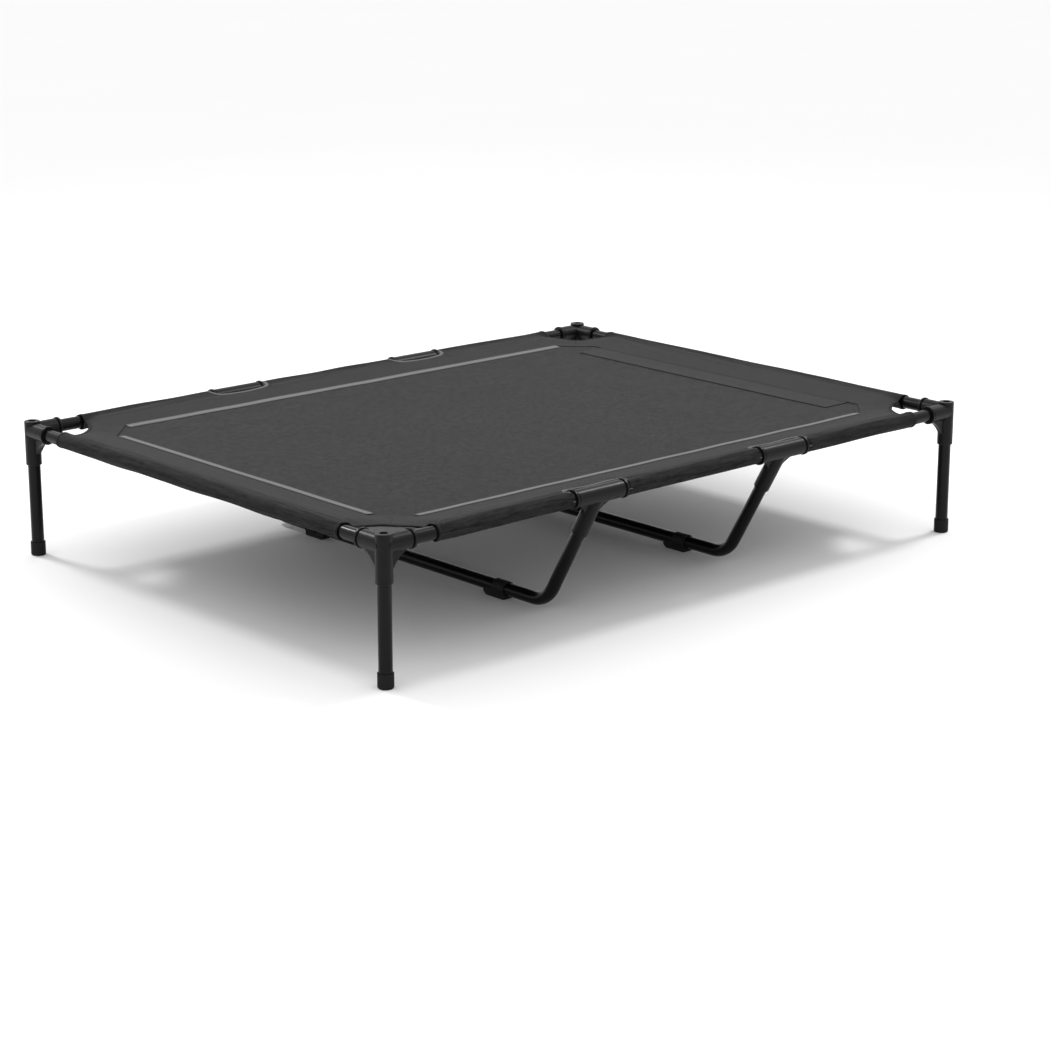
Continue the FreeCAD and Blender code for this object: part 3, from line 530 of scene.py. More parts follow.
@cached
def seam_tape(shade, colour):
    """Light grey ribbed tape: ribs across it, darker selvedges and a little yarn variation."""
    place = shade.place("UV")
    along, across, _ = shade.axes(place)
    rib = abs((along / (1.5 * MM) * math.pi).sine())
    yarn = shade.streaks(place, 9.0, 1500.0)
    soil = shade.streaks(place, 20.0, 60.0, 3.0, 0.6)
    selvedge = abs(across).step(TAPE_WIDTH / 2 - 1.8 * MM, TAPE_WIDTH / 2 - 0.4 * MM)
    base = shade.tones(0.5 * rib.step(0.1, 0.8) + 0.3 * yarn + 0.2 * soil, colour.tape, 0.62, 1.25)
    return shade.finish(
        Base_Color=shade.mix(selvedge * 0.45, base, opaque(colour.tape, 0.45)),
        Roughness=0.72 - 0.1 * rib,
        Normal=shade.bump(rib + yarn * 0.4, 0.22 * MM, 0.8),
        Specular_IOR_Level=0.15, Sheen_Weight=0.05, Sheen_Roughness=0.5)


@cached
def light_notch_hem(shade, colour):
    """Light grey ribbed hem round the cut-outs at the tees, in a darker tone of the tape's colour."""
    place = shade.place("UV")
    along, _, _ = shade.axes(place)
    rib = abs((along / (1.2 * MM) * math.pi).sine())
    soil = shade.streaks(place, 25.0, 90.0, 3.0, 0.6)
    return shade.finish(
        Base_Color=shade.tones(0.5 * rib + 0.5 * soil, colour.tape, 0.55, 1.05),
        Roughness=0.7 - 0.1 * rib,
        Normal=shade.bump(rib, 0.15 * MM, 0.8),
        Specular_IOR_Level=0.15, Sheen_Weight=0.05, Sheen_Roughness=0.5)


@cached
def sewing_thread(shade, colour):
    """Twisted dark polyester thread."""
    ply = shade.noise(shade.place(), 2400, 2.0)
    return shade.finish(
        Base_Color=shade.tones(ply, colour.thread, 0.7, 1.7),
        Roughness=0.5 + 0.15 * ply,
        Normal=shade.bump(ply, 0.05 * MM, 0.6),
        Specular_IOR_Level=0.4)


# ------------------------------------------------------------- mesh building

def grid_faces(columns, rows, wrap_columns=False, wrap_rows=False, skip_row=None):
    """Four-sided faces of a grid of points, columns by rows, as an array of corner numbers.

    A wrapped direction joins its last line of points to its first. skip_row is left open.
    """
    column, row = np.meshgrid(np.arange(columns if wrap_columns else columns - 1),
                              np.arange(rows if wrap_rows else rows - 1), indexing="ij")
    if skip_row is not None:
        column, row = column[row != skip_row], row[row != skip_row]
    after, above = (column + 1) % columns, (row + 1) % rows
    faces = np.stack([column * rows + row, after * rows + row,
                      after * rows + above, column * rows + above], axis=-1)
    return faces.reshape(-1, 4)


def new_object(name, points, faces, finish, uv=None, merge=False, close=False):
    """An object made from points and faces, with a flat place for each point in its UV map.

    merge joins points that coincide, and close turns a closed shell's faces outward.
    """
    mesh = bpy.data.meshes.new(name)
    mesh.from_pydata(points.reshape(-1, 3).tolist(), [], faces)
    if uv is not None:
        corner = np.empty(len(mesh.loops), dtype=np.int32)
        mesh.loops.foreach_get("vertex_index", corner)
        layer = mesh.uv_layers.new(name="cut")
        layer.data.foreach_set("uv", uv.reshape(-1, 2)[corner].astype(np.float32).ravel())
    if merge or close:
        work = bmesh.new()
        work.from_mesh(mesh)
        if merge:
            bmesh.ops.remove_doubles(work, verts=work.verts, dist=1e-6)
        if close:
            bmesh.ops.recalc_face_normals(work, faces=work.faces)
        work.to_mesh(mesh)
        work.free()
    mesh.polygons.foreach_set("use_smooth", np.ones(len(mesh.polygons), dtype=bool))
    mesh.materials.append(finish)
    mesh.update()
    made = bpy.data.objects.new(name, mesh)
    bpy.context.scene.collection.objects.link(made)
    return made


def add_piece(name, slot, *shape, solid=0.0, **options):
    """Make a piece of the cover; slot is not used. solid gives a sheet its thickness."""
    piece = new_object(name, *shape, **options)
    if solid:
        wall = piece.modifiers.new("thickness", "SOLIDIFY")
        wall.thickness = solid
        wall.offset = 0.0
    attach(piece, "root")
    return piece


def unit(vectors):
    """Vectors scaled to length one."""
    return vectors / np.maximum(np.linalg.norm(vectors, axis=-1, keepdims=True), 1e-12)


def directions(path, closed):
    """Direction of travel at each point of a path: the difference of its neighbours."""
    if closed:
        return unit(np.roll(path, -1, axis=0) - np.roll(path, 1, axis=0))
    return unit(np.gradient(path, axis=0))


def distances(path):
    """Distance from a path's start to each of its points: the lengths of its pieces, added up."""
    return np.concatenate([[0.0], np.cumsum(np.linalg.norm(np.diff(path, axis=0), axis=1))])


def follow(values, run, wanted):
    """Values given at distances run, read at the distances wanted."""
    return np.stack([np.interp(wanted, run, column) for column in values.T], axis=1)


def strip(path, side, up, width, height, closed, points=18, squareness=0.5):
    """A flattened section carried along a path, with its UV in metres along and across.

    The section is the rounded box side * (width / 2) * |cos a|^q + up * (height / 2) * |sin a|^q,
    each with the sign of its cosine or sine, for a once round; q is squareness.
    """
    angle = np.arange(points) * 2 * math.pi / points
    wide = np.sign(np.cos(angle)) * np.abs(np.cos(angle)) ** squareness * width / 2
    tall = np.sign(np.sin(angle)) * np.abs(np.sin(angle)) ** squareness * height / 2
    rings = path[:, None] + side[:, None] * wide[None, :, None] + up[:, None] * tall[None, :, None]
    count = len(path)
    faces = grid_faces(count, points, wrap_columns=closed, wrap_rows=True).tolist()
    if not closed:
        faces += [list(range(points)), list(range((count - 1) * points, count * points))]
    uv = np.stack(np.broadcast_arrays(distances(path)[:, None], wide[None, :]), axis=-1)
    return rings, faces, uv


def stitch_row(path, up=None, closed=False, length=2.5 * MM, width=0.6 * MM, height=0.5 * MM):
    """Places and directions of a row of stitches: centre, along, side and up, scaled to size.

    The stitches are an equal distance apart, about the stitch pitch, with half of it at each end.
    They lie flat where up isn't given.
    """
    if up is None:
        up = np.tile([0.0, 0.0, 1.0], (len(path), 1))
    if closed:
        path, up = np.vstack([path, path[:1]]), np.vstack([up, up[:1]])
    run = distances(path)
    count = max(2, int(round(run[-1] / cover().stitch)))
    wanted = (np.arange(count) + 0.5) * run[-1] / count
    along = unit(follow(path, run, np.minimum(wanted + 0.5 * MM, run[-1]))
                 - follow(path, run, np.maximum(wanted - 0.5 * MM, 0)))
    side = unit(np.cross(follow(up, run, wanted), along))
    lift = np.cross(along, side)
    return follow(path, run, wanted), along * length / 2, side * width / 2, lift * height / 2


def stitch_mesh(name, rows, turns=6, rings=3):
    """All the stitches of some rows as one piece.

    Each stitch is an egg: its point is centre + along * cos b + (side * cos a + up * sin a) * sin b,
    for b from one tip to the other and a once round.
    """
    bend = np.linspace(0, math.pi, rings + 2)[1:-1]
    turn = np.arange(turns) * 2 * math.pi / turns
    along = np.concatenate([[1.0], np.repeat(np.cos(bend), turns), [-1.0]])
    side = np.concatenate([[0.0], np.outer(np.sin(bend), np.cos(turn)).ravel(), [0.0]])
    lift = np.concatenate([[0.0], np.outer(np.sin(bend), np.sin(turn)).ravel(), [0.0]])
    centre, axis_a, axis_b, axis_c = (np.concatenate(parts) for parts in zip(*rows))
    points = (centre[:, None] + axis_a[:, None] * along[None, :, None]
              + axis_b[:, None] * side[None, :, None] + axis_c[:, None] * lift[None, :, None])
    here = np.arange(turns)
    there = (here + 1) % turns
    last_ring = 1 + (rings - 1) * turns
    tip = last_ring + turns
    caps = np.stack([np.stack([0 * here, 1 + there, 1 + here], axis=-1),
                     np.stack([last_ring + here, last_ring + there, tip + 0 * here], axis=-1)])
    barrel = 1 + grid_faces(rings, turns, wrap_rows=True)
    first = (np.arange(len(centre)) * (tip + 1))[:, None, None]
    faces = ((first + caps.reshape(1, -1, 3)).reshape(-1, 3).tolist()
             + (first + barrel).reshape(-1, 4).tolist())
    add_piece(name, "band_cloth", points, faces, sewing_thread(), close=True)


# ------------------------------------------------------------- the cover's shape

def soft_max(first, second, reach):
    """The larger of two heights, rounded where they cross: half their sum and rounded difference."""
    return 0.5 * (first + second + np.sqrt((first - second) ** 2 + reach ** 2))


def fade(distance, start, end):
    """1 up to start, 0 past end, and a smooth cubic between."""
    share = np.clip((end - distance) / (end - start), 0, 1)
    return share * share * (3 - 2 * share)


def bell(distance, centre, reach):
    """1 at the centre and less on both sides of it: e to the minus ((distance - centre) / reach)^2."""
    return np.exp(-((distance - centre) / reach) ** 2)


def waves(first, second, seed, count, spans_first, spans_second):
    """A smooth random field from about -1 to 1: the mean of cosines with random spans and phases."""
    chance = np.random.default_rng(seed)
    total = 0.0
    for _ in range(count):
        across = 2 * math.pi / chance.uniform(*spans_first) * chance.choice([-1, 1])
        along = 2 * math.pi / chance.uniform(*spans_second)
        total = total + np.cos(across * first + along * second + chance.uniform(0, 2 * math.pi))
    return total / math.sqrt(count)


class Fold:
    """Section of a band: a circle round the rail and a straight layer from it down to the seam.

    The straight layer leaves the circle as a tangent. A cut is a distance along the cloth from
    the circle's outermost point, and round is the cut where the straight layer starts.
    """

    def __init__(self):
        self.cloth = cover().cloth
        self.radius = SLEEVE_OUTER - self.cloth / 2
        lean = (math.atan2(SEAM_RISE, BAND_WIDTH)
                + math.acos(self.radius / math.hypot(BAND_WIDTH, SEAM_RISE)))
        self.fall = math.pi / 2 - lean  # slope of the straight layer
        self.round = self.radius * (math.pi - lean)

    def inboard(self, cut):
        """Distance inboard of the rail axis, for a distance along the cloth."""
        angle = np.minimum(cut, self.round) / self.radius
        return -self.radius * np.cos(angle) + np.maximum(cut - self.round, 0) * math.cos(self.fall)

    def cut(self, inboard):
        """Distance along the cloth, for a distance inboard on the straight layer."""
        start = -self.radius * math.cos(self.round / self.radius)
        return self.round + (inboard - start) / math.cos(self.fall)


def on_plan(side, along, inboard):
    """X and Y of a place, from its distances along a side's rail and inboard of the rail's axis."""
    way, inward, _, rail = SIDES[side]
    return [way[axis] * along + inward[axis] * (inboard - rail) for axis in (0, 1)]


def flat_height(x, y, fold):
    """Height of the top layer over the rail axes, without ripples.

    It is the largest, rounded where they meet, of the slope that falls from the nearer long rail
    to its seam, the slope that falls from the nearer end rail, and the centre's shallow sag,
    sag * (1 - (x / a)^2) * (1 - (y / b)^2).
    """
    slope = math.tan(fold.fall)
    long_side = SEAM_RISE + slope * (BAND_WIDTH - (LEG_Y - np.abs(y)))
    end_side = SEAM_RISE + slope * (BAND_WIDTH - (LEG_X - np.abs(x)))
    spread = (np.clip(1 - (x / (LEG_X - BAND_WIDTH)) ** 2, 0, 1)
              * np.clip(1 - (y / (LEG_Y - BAND_WIDTH)) ** 2, 0, 1))
    centre = SEAM_RISE - cover().sag * spread
    return soft_max(soft_max(long_side, end_side, 2.2 * MM), centre, 0.8 * MM)


def ripples(x, y):
    """Soft unevenness of the whole cover, and creases fanned round each leg.

    The fan is a cosine of the angle round the leg, strongest just inside the cut-out and gone
    along both rails. The cloth is also pulled down a little there.
    """
    soft = 0.22 * MM * waves(x, y, 11, 7, (0.09, 0.4), (0.09, 0.4))
    out_x, out_y = LEG_X - np.abs(x), LEG_Y - np.abs(y)
    away = np.hypot(out_x, out_y)
    angle = np.arctan2(np.maximum(out_y, 0), np.maximum(out_x, 1e-6))
    phase = 1.3 * np.sign(x) + 0.7 * np.sign(y)
    fan = np.sin(2 * angle) * np.cos(9 * angle + phase) * bell(away, 98 * MM, 34 * MM)
    pull = np.sin(2 * angle) ** 2 * bell(away, 88 * MM, 50 * MM)
    return soft + cover().crease * (0.6 * fan - 0.5 * pull)


def wrinkles(along, cut, seed):
    """Height of a sleeve's long soft wrinkles, which grow from the fold and fade before the seam."""
    field = waves(along, cut, 100 + seed, 6, (0.11, 0.5), (0.011, 0.034))
    grow = 0.35 + 0.65 * np.minimum(cut / (12 * MM), 1)
    return cover().wrinkle * field * fade(cut, 30 * MM, 62 * MM) * grow


def gathers(along, inboard, reach, seed):
    """Height of the small gathers along a seam: a sine of uneven pitch that dies out at the mitres."""
    uneven = waves(along, 0 * along, 300 + seed, 3, (0.05, 0.2), (1.0, 2.0))
    wave = np.sin(along * 2 * math.pi / (8.5 * MM) + 2.5 * uneven)
    from_mitre = np.minimum(np.maximum(reach - np.abs(along) - inboard, 0) / (50 * MM), 1)
    return cover().pucker * wave * bell(inboard, BAND_WIDTH, 7 * MM) * from_mitre


def cover_height(x, y, fold):
    """Height of the middle of the top layer above the floor, anywhere inboard of the rails."""
    return RAIL_Z + flat_height(x, y, fold) + ripples(x, y)


def notch_edge(along, fold):
    """Cloth from the outermost point to a tee's cut-out: depth * (1 - |u|^n)^(1/n), u along it."""
    depth = fold.cut(cover().notch_depth)
    edge = np.zeros_like(along)
    for centre in (-TEE_X, TEE_X):
        share = np.minimum(np.abs(along - centre) / cover().notch_half, 1)
        edge = np.maximum(edge, depth * (1 - share ** NOTCH_POWER) ** (1 / NOTCH_POWER))
    return edge


def notch_slack(along, cut, fold):
    """Slackness beside a tee's cut-out, from 0 to 1: a bell along the rail that fades inward."""
    edge = notch_edge(along, fold)
    beside = np.maximum(bell(along, -TEE_X, 42 * MM), bell(along, TEE_X, 42 * MM))
    return beside * fade(cut - edge, 0.0, 45 * MM) * (edge > 0)


def end_line(inboard, reach, grow=0.0):
    """Where a band ends: the circle round the leg, then the diagonal where it meets the next band."""
    circle = np.sqrt(np.maximum((CORNER_CUT + grow) ** 2 - inboard ** 2, 0))
    return reach - np.maximum(circle, inboard)


def seam_place(along, reach):
    """Rail axis to a seam: the band's width, then a slant that cuts the centre's corner off."""
    return BAND_WIDTH + np.clip(np.abs(along) - (reach - BAND_WIDTH - 2 * PATCH), 0, PATCH)


def band_points(side, along, cut, layer, fold):
    """Places on a band, for distances along its rail and along the cloth from the outermost point.

    layer is 1 for the top layer and -1 for the one below. The section is Fold's, slack beside the
    tees and with its two layers brought together along the cut-out at a leg. It is then moved
    along its normal by the wrinkles of the sleeve, the gathers of the seam and the cover's ripples.
    """
    reach = SIDES[side][2]
    seed = list(SIDES).index(side) * 10 + (0 if layer > 0 else 5)
    inboard = fold.inboard(cut)
    angle = np.minimum(cut, fold.round) / fold.radius
    x, y = on_plan(side, along, inboard)
    resting = flat_height(x, y, fold)
    straight = resting if layer > 0 else soft_max(resting, SEAM_RISE, 0.5 * MM)
    rise = np.where(cut < fold.round, fold.radius * np.sin(angle), straight)
    if side in NOTCHED:
        rise = rise * (1 - TEE_SLACK * notch_slack(along, cut, fold))
    from_leg = np.hypot(reach - np.abs(along), inboard)
    closed = fade(from_leg - CORNER_CUT, 0.0, SCOOP) * (1 - fade(inboard, 6 * MM, 19 * MM))
    level = 0.35 * resting + 0.5 * layer * (fold.cloth + 0.1 * MM)
    rise = rise + closed * (layer * level - rise)
    swell = (gathers(along, inboard, reach, seed)
             + ripples(x, y) * fade(fold.round - cut, 0.0, fold.round))
    shift = wrinkles(along, cut, seed) + layer * swell
    x, y = on_plan(side, along, inboard - np.cos(angle) * shift)
    return np.stack([x, y, RAIL_Z + layer * (rise + np.sin(angle) * shift)], axis=-1)


def band_columns(side, ends_at):
    """Places along the rail of a band's columns between its end grids, crowded at the cut-outs."""
    if side not in NOTCHED:
        return np.linspace(-ends_at, ends_at, int(2 * ends_at / COLUMN))
    half = cover().notch_half
    turn = np.linspace(-math.pi / 2, math.pi / 2, 45)
    bow = np.sign(np.sin(turn)) * np.abs(np.sin(turn)) ** (1 / 1.3) * half
    outer = np.arange(-ends_at, -TEE_X - half - COLUMN / 2, COLUMN)
    between = np.linspace(half - TEE_X, TEE_X - half, 68)[1:-1]
    return np.concatenate([outer, bow - TEE_X, between, bow + TEE_X, -outer[::-1]])


def band_cut(side, fold):
    """Distances along the rail and along the cloth for a grid over half a band's fold.

    Between the ends a column runs straight from the fold, or from the cut-out at a tee, to the
    seam. Each end is a patch blended from its four edges: the sum of its two pairs of facing
    edges, less the four corners, so its last column follows the leg's cut-out and the mitre.
    """
    reach = SIDES[side][2]
    seam = fold.cut(BAND_WIDTH)
    ends_at = reach - END_GRID
    fine = np.arange(round(FINE_CLOTH / MM)) * MM
    rows = np.concatenate([fine, np.linspace(FINE_CLOTH, seam, 27)]) / seam
    columns = band_columns(side, ends_at)
    edge = notch_edge(columns, fold) if side in NOTCHED else np.zeros_like(columns)
    along = np.repeat(columns[:, None], len(rows), axis=1)
    cut = edge[:, None] + (seam - edge[:, None]) * rows[None, :]

    far_cut = rows * fold.cut(MITRE)
    far_along = end_line(fold.inboard(far_cut), reach)
    share = np.linspace(0, 1, 36)[1:, None]
    fold_along = ends_at + share * (far_along[0] - ends_at)
    seam_along = ends_at + share * (reach - MITRE - ends_at)
    seam_cut = fold.cut(seam_place(seam_along, reach))
    height = rows[None, :]
    corners = (1 - share) * ends_at + share * ((1 - height) * far_along[0] + height * (reach - MITRE))
    end_along = ((1 - share) * ends_at + share * far_along[None, :]
                 + (1 - height) * fold_along + height * seam_along - corners)
    end_cut = ((1 - share) * (rows * seam)[None, :] + share * far_cut[None, :]
               + height * seam_cut - height * ((1 - share) * seam + share * fold.cut(MITRE)))
    return (np.concatenate([-end_along[::-1], along, end_along]),
            np.concatenate([end_cut[::-1], cut, end_cut]))


def quad_area(along, cut):
    """Area of a grid on the flat cloth: half the cross product of each quad's diagonals, summed."""
    one_a, one_c = along[1:, 1:] - along[:-1, :-1], cut[1:, 1:] - cut[:-1, :-1]
    two_a, two_c = along[1:, :-1] - along[:-1, 1:], cut[1:, :-1] - cut[:-1, 1:]
    return float(np.abs(one_a * two_c - one_c * two_a).sum() / 2)


def make_band(side, fold):
    """Sew one band: both layers from the fold round the rail to the seam. Gives its flat size too."""
    along, cut = band_cut(side, fold)
    columns, rows = along.shape
    points = np.concatenate([band_points(side, along, cut, -1, fold)[:, ::-1],
                             band_points(side, along, cut, 1, fold)], axis=1)
    uv = np.concatenate([np.stack([along, -cut], axis=-1)[:, ::-1],
                         np.stack([along, cut], axis=-1)], axis=1)
    faces = grid_faces(columns, 2 * rows, skip_row=rows - 1).tolist()
    piece = add_piece(f"cloth_band_{side}", "band_cloth", points, faces, band_cloth(),
                      uv=uv, solid=fold.cloth, merge=True)
    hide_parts(f"cover_band_{side}")
    return piece, 2 * quad_area(along, cut), (2 * float(cut.max()), 2 * float(along.max()))


# ------------------------------------------------------------- hems, tapes and stitching

def add_hem(name, edge, inside, finish, fold):
    """A turned hem, a flat strip just inside a closed cut edge, and its row of stitches."""
    travel = directions(edge, True)
    side = inside - edge
    side = unit(side - travel * np.sum(side * travel, axis=1, keepdims=True))
    up = np.cross(travel, side)
    path = edge + side * (cover().hem / 2 - HEM_PROUD)
    rings, faces, uv = strip(path, side, up, cover().hem, fold.cloth + 2 * HEM_PROUD, True)
    piece = add_piece(name, "band_cloth", rings, faces, finish, uv=uv, close=True)
    return piece, stitch_row(path + up * (fold.cloth / 2 + HEM_PROUD), up, closed=True)


def corner_edge(corner, fold, grow):
    """The cut edge round one leg: over one sleeve, along the scoop, over the next, back below."""
    first, second = CORNERS[corner]
    cut = np.linspace(0, fold.cut((CORNER_CUT + grow) / math.sqrt(2)), 60)
    inboard = fold.inboard(cut)
    paths = []
    for layer in (1, -1):
        one = band_points(first, end_line(inboard, SIDES[first][2], grow), cut, layer, fold)
        two = band_points(second, -end_line(inboard, SIDES[second][2], grow), cut, layer, fold)
        line = np.concatenate([one, two[::-1][1:]])
        paths.append(line if layer > 0 else line[::-1][1:-1])
    return np.concatenate(paths)


def notch_line(side, centre, fold, grow):
    """The cut edge round one tee: from sleeve to sleeve over the top, and back below.

    It is half * sign(sin a) * |sin a|^(2/n) along the rail and depth * |cos a|^(2/n) on the cloth.
    """
    turn = np.linspace(-math.pi / 2, math.pi / 2, 75)
    power = 2 / NOTCH_POWER
    bow = np.sign(np.sin(turn)) * np.abs(np.sin(turn)) ** power * (cover().notch_half + grow)
    depth = (fold.cut(cover().notch_depth) + grow) * np.abs(np.cos(turn)) ** power
    over = band_points(side, centre + bow, depth, 1, fold)
    under = band_points(side, centre + bow, depth, -1, fold)
    return np.concatenate([over, under[::-1][1:-1]])


def lie_on(x, y, fold):
    """Top surface of the cover: the band's outside of the seam, the centre's inside it."""
    inboard = np.minimum(LEG_X - np.abs(x), LEG_Y - np.abs(y))
    top = cover_height(x, y, fold) + fold.cloth / 2
    lower = cover_height(x, y, fold) - SEAM_RISE + cover().mesh / 2
    share = fade(inboard, BAND_WIDTH, BAND_WIDTH + 3 * MM)
    return share * top + (1 - share) * lower


def tape_path(side, half, fold):
    """Middle, side and upward direction of a tape laid along a seam, from both its edges' heights."""
    along = np.arange(-half, half + 1 * MM, TAPE_STEP)
    outer = BAND_WIDTH - TAPE_LAP
    edges = []
    for inboard in (outer, outer + TAPE_WIDTH):
        x, y = on_plan(side, along, inboard)
        edges.append(np.stack([x, y, lie_on(x, y, fold)], axis=-1))
    path = (edges[0] + edges[1]) / 2
    across = unit(edges[1] - edges[0])
    up = unit(np.cross(directions(path, False), across))
    return path + up * (TAPE_THICK / 2 + AIR), across, up


# ------------------------------------------------------------- operators

def coat(finish, *starts):
    """Give a finish to the CAD nodes whose names start in one of these ways."""
    found = [node for name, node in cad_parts.items() if name.startswith(starts)]
    if not found:
        raise RuntimeError(f"no node starts with {starts}")
    for piece in found:
        piece.data.materials.clear()
        piece.data.materials.append(finish)


class DOGBED_OT_connectors(Operator):
    """Give the corner and tee connectors their satin moulded finish"""

    bl_idname = "dogbed.connectors"
    bl_label = "Connectors"
    bl_options = {"REGISTER", "UNDO"}

    def execute(self, context):
        coat(moulded_plastic(), "corner_connector", "tee_connector")
        return {"FINISHED"}


class DOGBED_OT_tubes(Operator):
    """Give the legs, rails and braces their powder coat"""

    bl_idname = "dogbed.tubes"
    bl_label = "Tubes"
    bl_options = {"REGISTER", "UNDO"}

    def execute(self, context):
        coat(powder_coat(), "leg_tube", "end_rail", "side_rail", "brace_tube")
        return {"FINISHED"}


class DOGBED_OT_feet(Operator):
    """Give the leg caps and the brace feet their rubber"""

    bl_idname = "dogbed.feet"
    bl_label = "Feet"
    bl_options = {"REGISTER", "UNDO"}

    def execute(self, context):
        coat(black_rubber(), "foot_cap")
        coat(clip_rubber(), "brace_foot")
        return {"FINISHED"}


class DOGBED_OT_fasteners(Operator):
    """Give the leg bolts black oxide and their inserts plain plastic"""

    bl_idname = "dogbed.fasteners"
    bl_label = "Fasteners"
    bl_options = {"REGISTER", "UNDO"}

    def execute(self, context):
        coat(black_oxide(), "leg_bolts")
        coat(insert_plastic(), "leg_inserts")
        return {"FINISHED"}


class DOGBED_OT_centre(Operator):
    """Weave the stretched centre of the cover, its corners cut off by the corner patches"""

    bl_idname = "dogbed.centre"
    bl_label = "Centre"
    bl_options = {"REGISTER", "UNDO"}

    def execute(self, context):
        fold = Fold()
        half_x = LEG_X - BAND_WIDTH + PANEL_TUCK
        half_y = LEG_Y - BAND_WIDTH + PANEL_TUCK
        columns, rows = 221, 157
        u, v = np.meshgrid(np.linspace(-1, 1, columns), np.linspace(-1, 1, rows), indexing="ij")
        y = v * half_y
        x = u * (half_x - np.maximum(np.abs(y) - (half_y - 2 * PATCH), 0))
        points = np.stack([x, y, cover_height(x, y, fold) - SEAM_RISE], axis=-1)
        piece = add_piece("cloth_centre", "panel_mesh", points, grid_faces(columns, rows).tolist(),
                          centre_mesh(), uv=np.stack([x, y], axis=-1), solid=cover().mesh)
        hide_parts("cover_panel")
        return {"FINISHED"}


class DOGBED_OT_bands(Operator):
    """Sew the four bands that fold round the rails, with hems round each leg and tee"""

    bl_idname = "dogbed.bands"
    bl_label = "Bands"
    bl_options = {"REGISTER", "UNDO"}

    def execute(self, context):
        fold = Fold()
        hem = cover().hem
        made = {side: make_band(side, fold) for side in SIDES}
        hems = {side: [] for side in SIDES}
        rows = []
        for corner, (first, _) in CORNERS.items():
            piece, row = add_hem(f"hem_corner_{corner}", corner_edge(corner, fold, 0.0),
                                 corner_edge(corner, fold, hem), band_cloth(), fold)
            hems[first].append(piece)
            rows.append(row)
        for side in NOTCHED:
            for end, centre in (("near", -TEE_X), ("far", TEE_X)):
                piece, row = add_hem(f"hem_notch_{side}_{end}", notch_line(side, centre, fold, 0.0),
                                     notch_line(side, centre, fold, hem), light_notch_hem(), fold)
                hems[side].append(piece)
                rows.append(row)
        stitch_mesh("thread_hems", rows)
        for side, (piece, area, flat) in made.items():
            side in NOTCHED
        return {"FINISHED"}


class DOGBED_OT_tapes(Operator):
    """Lay the light ribbed tape over the seams on three sides"""

    bl_idname = "dogbed.tapes"
    bl_label = "Seam tapes"
    bl_options = {"REGISTER", "UNDO"}

    def execute(self, context):
        fold = Fold()
        rows = []
        for side, axis in (("front", 0), ("back", 0), ("left", 1)):
            half = high(f"seam_tape_{side}", axis)
            path, across, up = tape_path(side, half, fold)
            rings, faces, uv = strip(path, across, up, TAPE_WIDTH, TAPE_THICK, False,
                                     points=20, squareness=0.35)
            piece = add_piece(f"tape_{side}", "seam_tape", rings, faces, seam_tape(),
                              uv=uv, close=True)
            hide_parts(f"seam_tape_{side}")
            for share in (-TAPE_STITCHES, TAPE_STITCHES):
                line = path + across * TAPE_WIDTH * share + up * TAPE_THICK / 2
                rows.append(stitch_row(line, up, height=SUNK_STITCH))
        stitch_mesh("thread_tapes", rows)
        return {"FINISHED"}


class DOGBED_OT_flap(Operator):
    """Sew the dark flap inside the seam at the right-hand end"""

    bl_idname = "dogbed.flap"
    bl_label = "Flap"
    bl_options = {"REGISTER", "UNDO"}

    def execute(self, context):
        fold = Fold()
        flap = "cover_flap_right"
        thick = high(flap, 2) - low(flap, 2)
        half = high(flap, 1)
        start, end = low(flap, 0), high(flap, 0) + PANEL_TUCK
        columns, rows = 25, 197
        x, y = np.meshgrid(np.linspace(start, end, columns), np.linspace(-half, half, rows),
                           indexing="ij")
        border = np.minimum(np.minimum(x - start, end - x), half - np.abs(y))
        hem = 0.35 * MM * fade(border, 4 * MM, 6 * MM)
        groove = 0.25 * MM * bell(border, FLAP_STITCHES, 0.8 * MM)
        points = np.stack([x, y, lie_on(x, y, fold) + thick / 2 + AIR + hem - groove], axis=-1)
        piece = add_piece(f"cloth_flap", "flap_cloth", points, grid_faces(columns, rows).tolist(),
                          flap_cloth(), uv=np.stack([y, x], axis=-1), solid=thick)
        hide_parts(flap)
        left, right, reach = start + FLAP_STITCHES, end - FLAP_STITCHES, half - FLAP_STITCHES
        corners = np.array([(left, -reach), (left, reach), (right, reach), (right, -reach)])
        share = np.linspace(0, 1, 200)[:, None]
        stitches = []
        for here, there in zip(corners, np.roll(corners, -1, axis=0)):
            x, y = (here + (there - here) * share).T
            path = np.stack([x, y, lie_on(x, y, fold) + thick + 2 * AIR], axis=-1)
            stitches.append(stitch_row(path, width=0.9 * MM, height=0.6 * MM))
        stitch_mesh("thread_flap", stitches)
        return {"FINISHED"}


class DOGBED_OT_seams(Operator):
    """Stitch the bands to the centre and to one another along the mitres"""

    bl_idname = "dogbed.seams"
    bl_label = "Seams"
    bl_options = {"REGISTER", "UNDO"}

    def execute(self, context):
        fold = Fold()
        on_cloth = (0, 0, fold.cloth / 2)
        rows = []
        for side, (_, _, reach, _) in SIDES.items():
            half = reach - MITRE - SEAM_STITCHES
            along = np.linspace(-half, half, 500)
            cut = fold.cut(seam_place(along, reach) - SEAM_STITCHES)
            rows.append(stitch_row(band_points(side, along, cut, 1, fold) + on_cloth,
                                   height=SUNK_STITCH))
            for end in (-1, 1):
                away = np.linspace(CORNER_CUT / math.sqrt(2) + 9 * MM, MITRE - 2 * MM, 40)
                along = end * (reach - away - MITRE_STITCHES)
                path = band_points(side, along, fold.cut(away), 1, fold) + on_cloth
                rows.append(stitch_row(path, height=SUNK_STITCH))
        stitch_mesh("thread_seams", rows)
        return {"FINISHED"}


